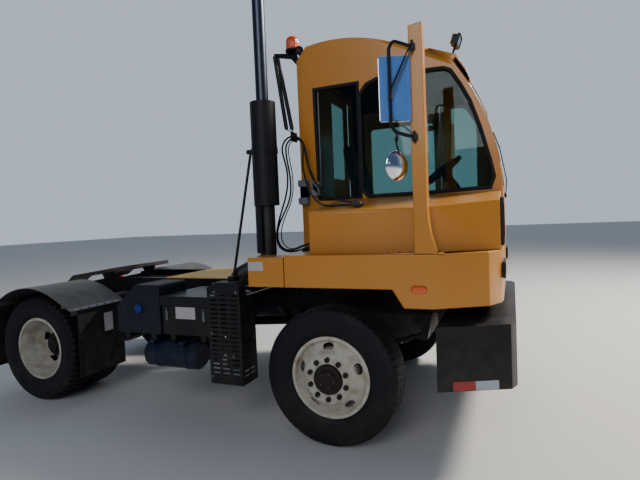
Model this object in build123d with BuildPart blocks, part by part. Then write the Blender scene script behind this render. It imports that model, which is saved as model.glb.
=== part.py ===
from build123d import *
import os
from math import cos, hypot, pi, radians, sin, tan

os.makedirs("parts", exist_ok=True)

# Terminal tractor with a one-person cab that tilts forward. Millimetres.
# X runs forward, Y to the driver's left, Z up from the ground; the origin is
# on the ground under the middle of the machine.

# Driving sizes of the whole machine
wheelbase = 3050
front_overhang = 1250
rear_overhang = 870
overall_length = front_overhang + wheelbase + rear_overhang
deck_half_width = 1215
front_axle_x = overall_length / 2 - front_overhang
rear_axle_x = front_axle_x - wheelbase
frame_rear_x = -overall_length / 2

# Running clearances
seat_gap = 0.3
door_gap = 5

# Wheels and tyres
tyre_radius = 507
tyre_width = 287
rim_flange_radius = 300
rim_bead_radius = 286
rim_width = 229
rim_well_radius = 256
rim_thickness = 9
disc_thickness = 11
wheel_centre_y = 1035
dual_spacing = 340
stud_circle = 285.75
stud_count = 10
nut_height = 24
nut_radius = 19
hub_seat_radius = 110
disc_flat_radius = 178
disc_shoulder = 24
rim_well_half = 26
rim_lip = 12
hand_hole_count = 5
hand_hole = (25, 42)
front_hole_ring = 228
rear_hole_ring = 208
front_dish = (72, 265)
rear_dish = (24, 249)
front_disc_out = 145
axle_z = tyre_radius

# Frame
rail_outer_y = 430
rail_top_z = 1115
rail_height = 255
rail_flange = 85
rail_web = 10
rail_front_x = front_axle_x + 980

# Steering
kingpin_y = 905


def side_plane(y):
    """Sketch plane facing the right side at a given Y: sketch axes are X and Z."""
    return Plane.XZ.offset(-y)


def cross_plane(x):
    """Sketch plane across the machine at a given X: sketch axes are Y and Z."""
    return Plane.YZ.offset(x)


def level(z):
    """Horizontal sketch plane at a given height."""
    return Plane.XY.offset(z)


def write(builder, label):
    """Label the finished piece and write it to its own file."""
    builder.part.label = label
    export_step(builder.part, f"parts/{label}.step")


# Frame rails: two channel rails with flanges turned inward, joined by cross-members
rail_inner_y = rail_outer_y - rail_web
rail_bottom_z = rail_top_z - rail_height
cross_member_depth = 90
cab_pivot_x = front_axle_x + 1080
cab_pivot_z = 1100
cab_pivot_radius = 20
pivot_plate = 18
pivot_plate_y = rail_outer_y - 50
# columns: centre X, lowest Z, height
cross_members = [
    (front_axle_x + 900, 900, 150),
    (front_axle_x - 760, 890, 200),
    (rear_axle_x + 840, rail_bottom_z + 5, 90),
    (rear_axle_x - 420, rail_bottom_z + 5, 130),
]
rail_taper_x = front_axle_x - 2850
rail_end_z = 945
rest_post_x = front_axle_x - 480
rest_post_y = 385
floor_bottom_z = 1360
# the fifth-wheel boom turns on a tube between the rails
boom_pivot_x = front_axle_x - 2000
boom_pivot_z = 930
boom_pin_radius = 25
# lift cylinders: lower pins in lugs under the rails
cylinder_base_x = front_axle_x - 2300
cylinder_base_z = 660
cylinder_y = 130
cylinder_pin_radius = 18
# cab tilt cylinder: lower pin on an outrigger from the left rail
tilt_base_x = front_axle_x + 750
tilt_base_z = 950
tilt_y = 620
# the stack cowl's arms lie on gussets outside the right rail
deck_edge_bottom_z = 1168
cab_seam_x = front_axle_x - 300
cowl_rear_x = front_axle_x - 605
cowl_arm_xs = (cowl_rear_x + 40, cab_seam_x - 60)
cowl_arm_width = 30
with BuildPart() as frame_rails:
    for side in (-1, 1):
        with BuildSketch(cross_plane(frame_rear_x)):
            with BuildLine():
                Polyline(
                    (side * rail_outer_y, rail_bottom_z),
                    (side * rail_outer_y, rail_top_z),
                    (side * (rail_outer_y - rail_flange), rail_top_z),
                    (side * (rail_outer_y - rail_flange), rail_top_z - rail_web),
                    (side * rail_inner_y, rail_top_z - rail_web),
                    (side * rail_inner_y, rail_bottom_z + rail_web),
                    (side * (rail_outer_y - rail_flange), rail_bottom_z + rail_web),
                    (side * (rail_outer_y - rail_flange), rail_bottom_z),
                    close=True,
                )
            make_face()
        extrude(amount=rail_front_x - frame_rear_x)
    for centre_x, low_z, height in cross_members:
        with BuildSketch(Plane.XZ.offset(-rail_inner_y)):
            with Locations((centre_x, low_z + height / 2)):
                Rectangle(cross_member_depth, height)
                Rectangle(cross_member_depth - 2 * rail_web, height - 2 * rail_web, mode=Mode.SUBTRACT)
        extrude(amount=2 * rail_inner_y)
    # the rails' upper edge falls away towards the back, under a sloping flange
    for side in (-1, 1):
        near_y = max(side * rail_outer_y, side * (rail_outer_y - rail_flange))
        with BuildSketch(side_plane(near_y + 1)):
            with BuildLine():
                Polyline(
                    (rail_taper_x, rail_top_z),
                    (frame_rear_x - 1, rail_end_z),
                    (frame_rear_x - 1, rail_top_z + 1),
                    (rail_taper_x, rail_top_z + 1),
                    close=True,
                )
            make_face()
        extrude(amount=rail_flange + 2, mode=Mode.SUBTRACT)
        with BuildSketch(side_plane(near_y)):
            with BuildLine():
                Polyline(
                    (rail_taper_x, rail_top_z),
                    (frame_rear_x, rail_end_z),
                    (frame_rear_x, rail_end_z - rail_web),
                    (rail_taper_x, rail_top_z - rail_web),
                    close=True,
                )
            make_face()
        extrude(amount=rail_flange)
    # end plate across the back, with a tapered lower edge
    with BuildSketch(cross_plane(frame_rear_x)):
        with BuildLine():
            Polyline(
                (-rail_outer_y, rail_end_z),
                (rail_outer_y, rail_end_z),
                (rail_outer_y, rail_bottom_z + 60),
                (rail_outer_y - 120, rail_bottom_z - 60),
                (-rail_outer_y + 120, rail_bottom_z - 60),
                (-rail_outer_y, rail_bottom_z + 60),
                close=True,
            )
        make_face()
    extrude(amount=14)
    # cab pivot plates on the rail ends
    for side in (-1, 1):
        with BuildSketch(side_plane(side * pivot_plate_y + pivot_plate / 2)):
            with BuildLine():
                Polyline(
                    (rail_front_x - 160, rail_bottom_z + 20),
                    (rail_front_x + 60, rail_bottom_z + 20),
                    (cab_pivot_x + 38, cab_pivot_z),
                    (cab_pivot_x, cab_pivot_z + 38),
                    (cab_pivot_x - 60, cab_pivot_z + 38),
                    (rail_front_x - 60, rail_top_z - rail_web),
                    (rail_front_x - 160, rail_top_z - rail_web),
                    close=True,
                )
            make_face()
            with Locations((cab_pivot_x, cab_pivot_z)):
                Circle(cab_pivot_radius, mode=Mode.SUBTRACT)
        extrude(amount=pivot_plate)
    # rubber-topped posts that the cab rests on
    for side in (-1, 1):
        with BuildSketch(level(rail_top_z)):
            with Locations((rest_post_x, side * rest_post_y)):
                Rectangle(70, 70)
        extrude(amount=floor_bottom_z - seat_gap - 40 - rail_top_z)
        with BuildSketch(level(floor_bottom_z - seat_gap - 40)):
            with Locations((rest_post_x, side * rest_post_y)):
                Circle(30)
        extrude(amount=40)
    # boom pivot: holes through the webs, each in a round boss
    for side in (-1, 1):
        with BuildSketch(side_plane(side * rail_outer_y)):
            with Locations((boom_pivot_x, boom_pivot_z)):
                Circle(52)
        extrude(amount=-side * 12)
        with BuildSketch(side_plane(side * (rail_outer_y + 14))):
            with Locations((boom_pivot_x, boom_pivot_z)):
                Circle(boom_pin_radius)
        extrude(amount=side * (14 + rail_web + 2), mode=Mode.SUBTRACT)
    # lift cylinder carrier: two drop plates, a cross box and four lugs
    for side in (-1, 1):
        with BuildSketch(side_plane(side * (rail_outer_y - 20) + 8)):
            with BuildLine():
                Polyline(
                    (cylinder_base_x - 10, rail_bottom_z),
                    (cylinder_base_x + 230, rail_bottom_z),
                    (cylinder_base_x + 180, cylinder_base_z - 30),
                    (cylinder_base_x + 60, cylinder_base_z - 30),
                    close=True,
                )
            make_face()
        extrude(amount=16)
    with BuildSketch(Plane.XZ.offset(-(rail_outer_y - 20))):
        with Locations((cylinder_base_x + 120, cylinder_base_z + 20)):
            Rectangle(100, 90)
            Rectangle(80, 70, mode=Mode.SUBTRACT)
    extrude(amount=2 * (rail_outer_y - 20))
    for side in (-1, 1):
        for lug_y in (cylinder_y - 50, cylinder_y + 50):
            with BuildSketch(side_plane(side * lug_y + 7)):
                with BuildLine():
                    Polyline(
                        (cylinder_base_x + 71, cylinder_base_z - 24),
                        (cylinder_base_x + 71, cylinder_base_z + 64),
                        (cylinder_base_x - 10, cylinder_base_z + 36),
                        (cylinder_base_x - 36, cylinder_base_z),
                        (cylinder_base_x - 20, cylinder_base_z - 32),
                        close=True,
                    )
                make_face()
                with Locations((cylinder_base_x, cylinder_base_z)):
                    Circle(cylinder_pin_radius, mode=Mode.SUBTRACT)
            extrude(amount=14)
    # outrigger and lugs for the cab tilt cylinder
    with BuildSketch(level(tilt_base_z - 45)):
        with Locations((tilt_base_x + 75, (rail_outer_y + tilt_y + 52) / 2)):
            Rectangle(60, tilt_y + 52 - rail_outer_y)
    extrude(amount=90)
    for lug_y in (tilt_y - 45, tilt_y + 45):
        with BuildSketch(side_plane(lug_y + 7)):
            with BuildLine():
                Polyline(
                    (tilt_base_x + 46, tilt_base_z - 40),
                    (tilt_base_x + 46, tilt_base_z + 40),
                    (tilt_base_x, tilt_base_z + 38),
                    (tilt_base_x - 36, tilt_base_z),
                    (tilt_base_x, tilt_base_z - 38),
                    close=True,
                )
            make_face()
            with Locations((tilt_base_x, tilt_base_z)):
                Circle(cylinder_pin_radius, mode=Mode.SUBTRACT)
        extrude(amount=14)
    for arm_x in cowl_arm_xs:
        with BuildSketch(cross_plane(arm_x - cowl_arm_width / 2)):
            with BuildLine():
                Polyline(
                    (-rail_outer_y, deck_edge_bottom_z),
                    (-rail_outer_y - 160, deck_edge_bottom_z),
                    (-rail_outer_y, rail_top_z - 140),
                    close=True,
                )
            make_face()
        extrude(amount=cowl_arm_width)
write(frame_rails, "frame_rails")

# Front bumper: a folded steel box, narrower towards the front, with a flat top deck
bumper_rear_x = front_axle_x + 770
bumper_front_x = overall_length / 2
bumper_bottom_z = 504
bumper_top_z = 930
bumper_front_half = 1015
bumper_plate = 8
bumper_corner_x = bumper_front_x - 33
bumper_nose_half = 930
with BuildPart() as front_bumper:
    with BuildSketch(level(bumper_bottom_z)):
        with BuildLine():
            Polyline(
                (bumper_rear_x, -deck_half_width),
                (bumper_corner_x, -bumper_front_half),
                (bumper_front_x, -bumper_nose_half),
                (bumper_front_x, bumper_nose_half),
                (bumper_corner_x, bumper_front_half),
                (bumper_rear_x, deck_half_width),
                close=True,
            )
        make_face()
    extrude(amount=bumper_top_z - bumper_bottom_z)
    # open behind: only the skin and the top deck are left
    with BuildSketch(level(bumper_bottom_z - 1)):
        with BuildLine():
            Polyline(
                (bumper_rear_x - 1, -deck_half_width + bumper_plate),
                (bumper_corner_x - bumper_plate, -bumper_front_half + bumper_plate),
                (bumper_front_x - bumper_plate, -bumper_nose_half + bumper_plate),
                (bumper_front_x - bumper_plate, bumper_nose_half - bumper_plate),
                (bumper_corner_x - bumper_plate, bumper_front_half - bumper_plate),
                (bumper_rear_x - 1, deck_half_width - bumper_plate),
                close=True,
            )
        make_face()
    extrude(amount=bumper_top_z - bumper_bottom_z - bumper_plate + 1, mode=Mode.SUBTRACT)
    # the top deck is cut back round the rail ends
    with BuildSketch(level(bumper_top_z - bumper_plate - 1)):
        with Locations(((bumper_rear_x + rail_front_x + 100) / 2 - 1, 0)):
            Rectangle(rail_front_x + 100 - bumper_rear_x + 2, 2 * rail_outer_y + 20)
        with Locations(((bumper_rear_x + tilt_base_x + 125) / 2, tilt_y - 50)):
            Rectangle(tilt_base_x + 135 - bumper_rear_x, 280)
    extrude(amount=bumper_plate + 2, mode=Mode.SUBTRACT)
    # mounting brackets from the rail ends to the front skin
    for side in (-1, 1):
        with BuildSketch(level(bumper_bottom_z + 60)):
            with Locations(((rail_front_x + bumper_front_x - bumper_plate) / 2, side * (rail_inner_y - 8))):
                Rectangle(bumper_front_x - bumper_plate - rail_front_x, 30)
        extrude(amount=bumper_top_z - bumper_plate - bumper_bottom_z - 60)
write(front_bumper, "front_bumper")

# Front axle: a dropped I-beam with a boss for the kingpin at each end
beam_top_z = 500
beam_height = 100
beam_width = 90
beam_web = 26
boss_radius = 46
boss_half_height = 55
spring_y = 425
with BuildPart() as front_axle:
    with BuildSketch(cross_plane(front_axle_x - beam_width / 2)):
        with BuildLine():
            Polyline(
                (-kingpin_y, axle_z + 50),
                (-kingpin_y + 90, axle_z + 45),
                (-kingpin_y + 250, beam_top_z),
                (kingpin_y - 250, beam_top_z),
                (kingpin_y - 90, axle_z + 45),
                (kingpin_y, axle_z + 50),
                (kingpin_y, axle_z - 50),
                (kingpin_y - 90, axle_z - 50),
                (kingpin_y - 280, beam_top_z - beam_height),
                (-kingpin_y + 280, beam_top_z - beam_height),
                (-kingpin_y + 90, axle_z - 50),
                (-kingpin_y, axle_z - 50),
                close=True,
            )
        make_face()
    extrude(amount=beam_width)
    # hollows that leave an I-section along the middle
    for side in (-1, 1):
        with BuildSketch(cross_plane(front_axle_x + side * beam_width / 2)):
            with Locations((0, beam_top_z - beam_height / 2)):
                Rectangle(2 * (kingpin_y - 300), beam_height - 2 * 20)
        extrude(amount=-side * (beam_width - beam_web) / 2, mode=Mode.SUBTRACT)
    for side in (-1, 1):
        with BuildSketch(level(axle_z - boss_half_height)):
            with Locations((front_axle_x, side * kingpin_y)):
                Circle(boss_radius)
        extrude(amount=2 * boss_half_height)
    # the boss stays clear of the knuckle's web
    for side in (-1, 1):
        with BuildSketch(level(axle_z - boss_half_height - 1)):
            with Locations((front_axle_x, side * (kingpin_y + boss_radius + 50))):
                Rectangle(beam_width + 20, 100)
        extrude(amount=2 * boss_half_height + 2, mode=Mode.SUBTRACT)
    # spring pads
    for side in (-1, 1):
        with BuildSketch(level(beam_top_z)):
            with Locations((front_axle_x, side * spring_y)):
                Rectangle(150, 90)
        extrude(amount=20)
write(front_axle, "front_axle")

# Front leaf springs, with hanger brackets below the rails and clamp bolts round the beam
leaf_thickness = 14
leaf_width = 76
leaf_count = 5
spring_eye_z = 700
spring_half_span = 560
spring_seat_z = beam_top_z + 20
with BuildPart() as leaf_springs:
    for side in (-1, 1):
        for index in range(leaf_count):
            half = spring_half_span - index * 95
            drop = spring_seat_z + (leaf_count - index) * leaf_thickness
            camber = spring_eye_z - spring_seat_z - leaf_count * leaf_thickness
            rise = camber * (half / spring_half_span) ** 2
            with BuildSketch(side_plane(side * spring_y + leaf_width / 2)):
                with BuildLine():
                    ThreePointArc(
                        (front_axle_x - half, drop + rise),
                        (front_axle_x, drop),
                        (front_axle_x + half, drop + rise),
                    )
                    Line(
                        (front_axle_x + half, drop + rise),
                        (front_axle_x + half, drop + rise - leaf_thickness),
                    )
                    ThreePointArc(
                        (front_axle_x + half, drop + rise - leaf_thickness),
                        (front_axle_x, drop - leaf_thickness),
                        (front_axle_x - half, drop + rise - leaf_thickness),
                    )
                    Line(
                        (front_axle_x - half, drop + rise - leaf_thickness),
                        (front_axle_x - half, drop + rise),
                    )
                make_face()
            extrude(amount=leaf_width)
        # hangers at both ends
        for end in (-1, 1):
            with BuildSketch(side_plane(side * spring_y + 45)):
                with BuildLine():
                    Polyline(
                        (front_axle_x + end * (spring_half_span - 30), rail_bottom_z),
                        (front_axle_x + end * (spring_half_span + 70), rail_bottom_z),
                        (front_axle_x + end * (spring_half_span + 30), spring_eye_z - 40),
                        (front_axle_x + end * (spring_half_span - 20), spring_eye_z - 40),
                        close=True,
                    )
                make_face()
            extrude(amount=90)
        # clamp plate and bolts over the spring
        with BuildSketch(level(spring_seat_z + leaf_count * leaf_thickness)):
            with Locations((front_axle_x, side * spring_y)):
                Rectangle(150, 100)
        extrude(amount=22)
        for end in (-1, 1):
            with BuildSketch(level(beam_top_z + 20)):
                with Locations(
                    (front_axle_x + end * 62, side * spring_y - 44),
                    (front_axle_x + end * 62, side * spring_y + 44),
                ):
                    Circle(9)
            extrude(amount=leaf_count * leaf_thickness + 40)
write(leaf_springs, "leaf_springs")

# Knuckles: a fork over the beam's boss, the spindle, and an arm for the tie rod
ear_thickness = 34
web_inner_y = kingpin_y + boss_radius + 5
web_thickness = 26
spindle_radius = 36
hub_back_y = web_inner_y + web_thickness + 12
arm_length = 210
arm_end_y = kingpin_y - 60
arm_z = axle_z - 120
for side, side_name in ((-1, "right"), (1, "left")):
    with BuildPart() as knuckle:
        for ear_z in (axle_z + boss_half_height + seat_gap, axle_z - boss_half_height - seat_gap - ear_thickness):
            with BuildSketch(level(ear_z)):
                with BuildLine():
                    Polyline(
                        (front_axle_x - 46, side * (kingpin_y - 10)),
                        (front_axle_x - 46, side * (web_inner_y + web_thickness)),
                        (front_axle_x + 46, side * (web_inner_y + web_thickness)),
                        (front_axle_x + 46, side * (kingpin_y - 10)),
                        (front_axle_x + 20, side * (kingpin_y - 44)),
                        (front_axle_x - 20, side * (kingpin_y - 44)),
                        close=True,
                    )
                make_face()
            extrude(amount=ear_thickness)
        ear_span = 2 * (boss_half_height + seat_gap + ear_thickness)
        with BuildSketch(level(axle_z - ear_span / 2)):
            with Locations((front_axle_x, side * (web_inner_y + web_thickness / 2))):
                Rectangle(92, web_thickness)
        extrude(amount=ear_span)
        # spindle and brake backing plate
        with BuildSketch(side_plane(side * (web_inner_y + web_thickness))):
            with Locations((front_axle_x, axle_z)):
                Circle(spindle_radius)
        extrude(amount=-side * (wheel_centre_y + 90 - web_inner_y - web_thickness))
        with BuildSketch(side_plane(side * (web_inner_y + web_thickness))):
            with Locations((front_axle_x, axle_z)):
                Circle(205)
        extrude(amount=-side * 8)
        # tie rod arm, reaching back from the lower ear
        with BuildSketch(level(arm_z)):
            with BuildLine():
                Polyline(
                    (front_axle_x + 30, side * (kingpin_y - 20)),
                    (front_axle_x - arm_length - 30, side * (arm_end_y - 28)),
                    (front_axle_x - arm_length - 30, side * (arm_end_y + 28)),
                    (front_axle_x - 30, side * (kingpin_y + 45)),
                    (front_axle_x + 30, side * (kingpin_y + 45)),
                    close=True,
                )
            make_face()
        extrude(amount=axle_z - ear_span / 2 + 6 - arm_z)
    write(knuckle, f"knuckle_{side_name}")

# Tie rod: lies on top of the two steering arms behind the beam
arm_top_z = axle_z - ear_span / 2 + 6
tie_rod_radius = 20
tie_rod_z = arm_top_z + seat_gap + tie_rod_radius
with BuildPart() as tie_rod:
    with BuildSketch(Plane.XZ.offset(-(arm_end_y - 26))):
        with Locations((front_axle_x - arm_length, tie_rod_z)):
            Circle(tie_rod_radius)
    extrude(amount=2 * (arm_end_y - 26))
    for side in (-1, 1):
        with BuildSketch(level(arm_top_z + seat_gap)):
            with Locations((front_axle_x - arm_length, side * arm_end_y)):
                Circle(30)
        extrude(amount=2 * tie_rod_radius)
write(tie_rod, "tie_rod")

# Tyre section, in local (distance from wheel centre along the axle, radius)
tread_half = 112
shoulder_radius_z = tyre_radius - 26
sidewall_radius_z = 402
bead_half = rim_width / 2 - 14


def axle_line(centre_x):
    """The line that a wheel turns on."""
    return Axis((centre_x, 0, axle_z), (0, 1, 0))


def tyre_section(centre_x, centre_y):
    """Section of one tyre, closed over the rim's well."""
    half = tyre_width / 2
    with BuildSketch(cross_plane(centre_x)) as section:
        with BuildLine():
            Polyline(
                (centre_y - tread_half, axle_z + tyre_radius),
                (centre_y + tread_half, axle_z + tyre_radius),
                (centre_y + tread_half + 24, axle_z + shoulder_radius_z),
                (centre_y + half, axle_z + sidewall_radius_z),
                (centre_y + bead_half, axle_z + rim_flange_radius + 3),
                (centre_y + bead_half, axle_z + rim_bead_radius),
                (centre_y - bead_half, axle_z + rim_bead_radius),
                (centre_y - bead_half, axle_z + rim_flange_radius + 3),
                (centre_y - half, axle_z + sidewall_radius_z),
                (centre_y - tread_half - 24, axle_z + shoulder_radius_z),
                close=True,
            )
        make_face()
    return section.sketch


def rim_section(centre_x, centre_y, disc_y, facing, dish):
    """Section of a drop-centre rim and its disc, from the flat at disc_y out to its root on the rim.

    dish is the root's distance from the rim's centre, and its radius.
    """
    half = rim_width / 2
    seat = rim_bead_radius - rim_thickness
    well = rim_well_radius - rim_thickness
    with BuildSketch(cross_plane(centre_x)) as section:
        with BuildLine():
            Polyline(
                (centre_y - half, axle_z + rim_flange_radius),
                (centre_y - half, axle_z + seat),
                (centre_y - rim_well_half, axle_z + well),
                (centre_y + rim_well_half, axle_z + well),
                (centre_y + half, axle_z + seat),
                (centre_y + half, axle_z + rim_flange_radius),
                (centre_y + half - rim_lip, axle_z + rim_flange_radius),
                (centre_y + half - rim_lip - 2, axle_z + rim_bead_radius - seat_gap),
                (centre_y + rim_well_half + 4, axle_z + rim_well_radius),
                (centre_y - rim_well_half - 4, axle_z + rim_well_radius),
                (centre_y - half + rim_lip + 2, axle_z + rim_bead_radius - seat_gap),
                (centre_y - half + rim_lip, axle_z + rim_flange_radius),
                close=True,
            )
        make_face()
        root_y = centre_y + facing * dish[0]
        with BuildLine():
            Polyline(
                (disc_y, axle_z + hub_seat_radius),
                (disc_y, axle_z + disc_flat_radius),
                (disc_y - facing * disc_shoulder, axle_z + disc_flat_radius + 28),
                (root_y, axle_z + dish[1]),
                (root_y - facing * disc_thickness, axle_z + dish[1]),
                (disc_y - facing * (disc_shoulder + disc_thickness), axle_z + disc_flat_radius + 20),
                (disc_y - facing * disc_thickness, axle_z + disc_flat_radius - 6),
                (disc_y - facing * disc_thickness, axle_z + hub_seat_radius),
                close=True,
            )
        make_face()
    return section.sketch


def hand_holes(centre_x, face_y, ring_radius):
    """Outlines of the oval hand holes in the sloping part of the disc."""
    with BuildSketch(side_plane(face_y)) as outlines:
        with Locations((centre_x, axle_z)):
            with PolarLocations(ring_radius, hand_hole_count, start_angle=92):
                Ellipse(hand_hole[0], hand_hole[1])
    return outlines.sketch


def nut_ring(centre_x, face_y):
    """Outlines of the hexagonal nuts on the stud circle, on the disc's face."""
    with BuildSketch(side_plane(face_y)) as outlines:
        with Locations((centre_x, axle_z)):
            with PolarLocations(stud_circle / 2, stud_count, start_angle=18):
                RegularPolygon(nut_radius, 6)
    return outlines.sketch


# Front wheels: disc dished outwards, brake drum and a bolted hub cap
drum_radius = 208
hub_cap_radius = 104
for side, side_name in ((-1, "right"), (1, "left")):
    with BuildPart() as front_tyre:
        revolve(tyre_section(front_axle_x, side * wheel_centre_y), axis=axle_line(front_axle_x))
    write(front_tyre, f"front_tyre_{side_name}")
    disc_face_y = side * (wheel_centre_y + front_disc_out)
    with BuildPart() as front_rim:
        rim = rim_section(front_axle_x, side * wheel_centre_y, disc_face_y, side, front_dish)
        revolve(rim, axis=axle_line(front_axle_x))
        holes = hand_holes(front_axle_x, disc_face_y + side * 40, front_hole_ring)
        extrude(holes, amount=side * 138, mode=Mode.SUBTRACT)
        extrude(nut_ring(front_axle_x, disc_face_y), amount=-side * nut_height)
        inner = hub_back_y
        with BuildSketch(cross_plane(front_axle_x)):
            with BuildLine():
                Polyline(
                    (side * inner, axle_z + spindle_radius + 0.5),
                    (side * inner, axle_z + drum_radius),
                    (side * (inner + 150), axle_z + drum_radius),
                    (side * (inner + 170), axle_z + 150),
                    (disc_face_y - side * disc_thickness, axle_z + 150),
                    (disc_face_y - side * disc_thickness, axle_z + 109.5),
                    (disc_face_y + side * 12, axle_z + 109.5),
                    (disc_face_y + side * 22, axle_z + hub_cap_radius),
                    (disc_face_y + side * 22, axle_z + 70),
                    (disc_face_y + side * 34, axle_z + 62),
                    (disc_face_y + side * 34, axle_z),
                    (side * (wheel_centre_y + 96), axle_z),
                    (side * (wheel_centre_y + 96), axle_z + spindle_radius + 0.5),
                    close=True,
                )
            make_face()
        revolve(axis=axle_line(front_axle_x))
    write(front_rim, f"front_wheel_{side_name}")

# Rear twin wheels: both discs meet at one hub face
dual_face_y = wheel_centre_y - dual_spacing / 2
rear_hub_radius = 92
rear_hub_out = 150
rear_spindle_radius = 58
for side, side_name in ((-1, "right"), (1, "left")):
    with BuildPart() as rear_tyres:
        for centre_y in (wheel_centre_y, wheel_centre_y - dual_spacing):
            revolve(tyre_section(rear_axle_x, side * centre_y), axis=axle_line(rear_axle_x))
    write(rear_tyres, f"rear_tyres_{side_name}")
    with BuildPart() as rear_wheels:
        outer_rim = rim_section(rear_axle_x, side * wheel_centre_y, side * dual_face_y, -side, rear_dish)
        inner_y = side * (wheel_centre_y - dual_spacing)
        inner_rim = rim_section(rear_axle_x, inner_y, side * dual_face_y, side, rear_dish)
        revolve(outer_rim, axis=axle_line(rear_axle_x))
        revolve(inner_rim, axis=axle_line(rear_axle_x))
        holes = hand_holes(rear_axle_x, side * (dual_face_y - 70), rear_hole_ring)
        extrude(holes, amount=-side * 140, mode=Mode.SUBTRACT)
        nuts = nut_ring(rear_axle_x, side * (dual_face_y + disc_thickness))
        extrude(nuts, amount=-side * nut_height)
        with BuildSketch(cross_plane(rear_axle_x)):
            hub_end = dual_face_y + rear_hub_out
            with BuildLine():
                Polyline(
                    (side * (dual_face_y - 190), axle_z + rear_spindle_radius + 0.5),
                    (side * (dual_face_y - 190), axle_z + drum_radius),
                    (side * (dual_face_y - 40), axle_z + drum_radius),
                    (side * (dual_face_y - 20), axle_z + 170),
                    (side * (dual_face_y - disc_thickness), axle_z + 150),
                    (side * (dual_face_y - disc_thickness), axle_z + 109.5),
                    (side * (dual_face_y + disc_thickness), axle_z + 109.5),
                    (side * (dual_face_y + disc_thickness), axle_z + 102),
                    (side * (dual_face_y + 90), axle_z + rear_hub_radius),
                    (side * (dual_face_y + 92), axle_z + 116),
                    (side * (dual_face_y + 108), axle_z + 116),
                    (side * (dual_face_y + 112), axle_z + 74),
                    (side * hub_end, axle_z + 60),
                    (side * hub_end, axle_z),
                    (side * (dual_face_y + 30), axle_z),
                    (side * (dual_face_y + 30), axle_z + rear_spindle_radius + 0.5),
                    close=True,
                )
            make_face()
        revolve(axis=axle_line(rear_axle_x))
    write(rear_wheels, f"rear_wheels_{side_name}")

# Rear axle: housing, differential bowl, saddles bolted under the rails, and the propeller shaft
housing_radius = 78
bowl_radius = 205
saddle_length = 260
prop_front_x = front_axle_x - 644
with BuildPart() as rear_axle:
    with BuildSketch(Plane.XZ.offset(-(dual_face_y - 200))):
        with Locations((rear_axle_x, axle_z)):
            Circle(housing_radius)
    extrude(amount=2 * (dual_face_y - 200))
    for side in (-1, 1):
        with BuildSketch(side_plane(side * (dual_face_y - 205))):
            with Locations((rear_axle_x, axle_z)):
                Circle(rear_spindle_radius)
        extrude(amount=-side * 225)
    with BuildSketch(cross_plane(rear_axle_x)):
        with BuildLine():
            Polyline(
                (-250, axle_z),
                (-240, axle_z + 60),
                (-130, axle_z + bowl_radius - 25),
                (-80, axle_z + bowl_radius),
                (80, axle_z + bowl_radius),
                (130, axle_z + bowl_radius - 25),
                (240, axle_z + 60),
                (250, axle_z),
                close=True,
            )
        make_face()
    revolve(axis=Axis((rear_axle_x, 0, axle_z), (0, 1, 0)))
    # pinion nose, with the propeller shaft's two yokes and tube
    with BuildSketch(cross_plane(rear_axle_x + 120)):
        with Locations((0, axle_z + 10)):
            Circle(95)
    extrude(amount=190, taper=12)
    with BuildSketch(Plane.YZ.offset(rear_axle_x + 300)):
        with Locations((0, axle_z + 10)):
            Circle(62)
    extrude(amount=90)
    shaft_start = Vector(rear_axle_x + 380, 0, axle_z + 10)
    shaft_end = Vector(prop_front_x, 0, 660)
    with BuildSketch(Plane(origin=shaft_start, z_dir=shaft_end - shaft_start)):
        Circle(45)
    extrude(amount=(shaft_end - shaft_start).length)
    # saddles up to the rails
    for side in (-1, 1):
        with BuildSketch(side_plane(side * spring_y + 45)):
            with BuildLine():
                Polyline(
                    (rear_axle_x - saddle_length / 2, rail_bottom_z),
                    (rear_axle_x + saddle_length / 2, rail_bottom_z),
                    (rear_axle_x + 85, axle_z + 30),
                    (rear_axle_x - 85, axle_z + 30),
                    close=True,
                )
            make_face()
        extrude(amount=90)
write(rear_axle, "rear_axle")

# Engine: one plain block at its real place, with the radiator core behind the grille
engine_rear_x = front_axle_x - 640
engine_front_x = front_axle_x + 560
engine_half = 300
with BuildPart() as engine:
    with BuildSketch(side_plane(engine_half)):
        with BuildLine():
            Polyline(
                (engine_rear_x, 640),
                (engine_rear_x + 420, 600),
                (engine_front_x, 600),
                (engine_front_x, 1330),
                (engine_rear_x + 480, 1330),
                (engine_rear_x + 330, 1000),
                (engine_rear_x, 900),
                close=True,
            )
        make_face()
    extrude(amount=2 * engine_half)
    with BuildSketch(level(rail_top_z)):
        with Locations((front_axle_x + 700, 0)):
            Rectangle(90, 2 * rail_outer_y)
    extrude(amount=225)
    with BuildSketch(level(640)):
        with Locations((front_axle_x + 700, 0)):
            Rectangle(90, 2 * (rail_outer_y - rail_flange) - 20)
    extrude(amount=rail_top_z - 640)
    # mounts that rest on the rails' lower flanges
    for mount_x in (front_axle_x - 350, front_axle_x + 350):
        with BuildSketch(level(rail_bottom_z + rail_web + seat_gap)):
            with Locations((mount_x, 0)):
                Rectangle(90, 2 * (rail_inner_y - seat_gap))
        extrude(amount=55)
write(engine, "engine")

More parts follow.
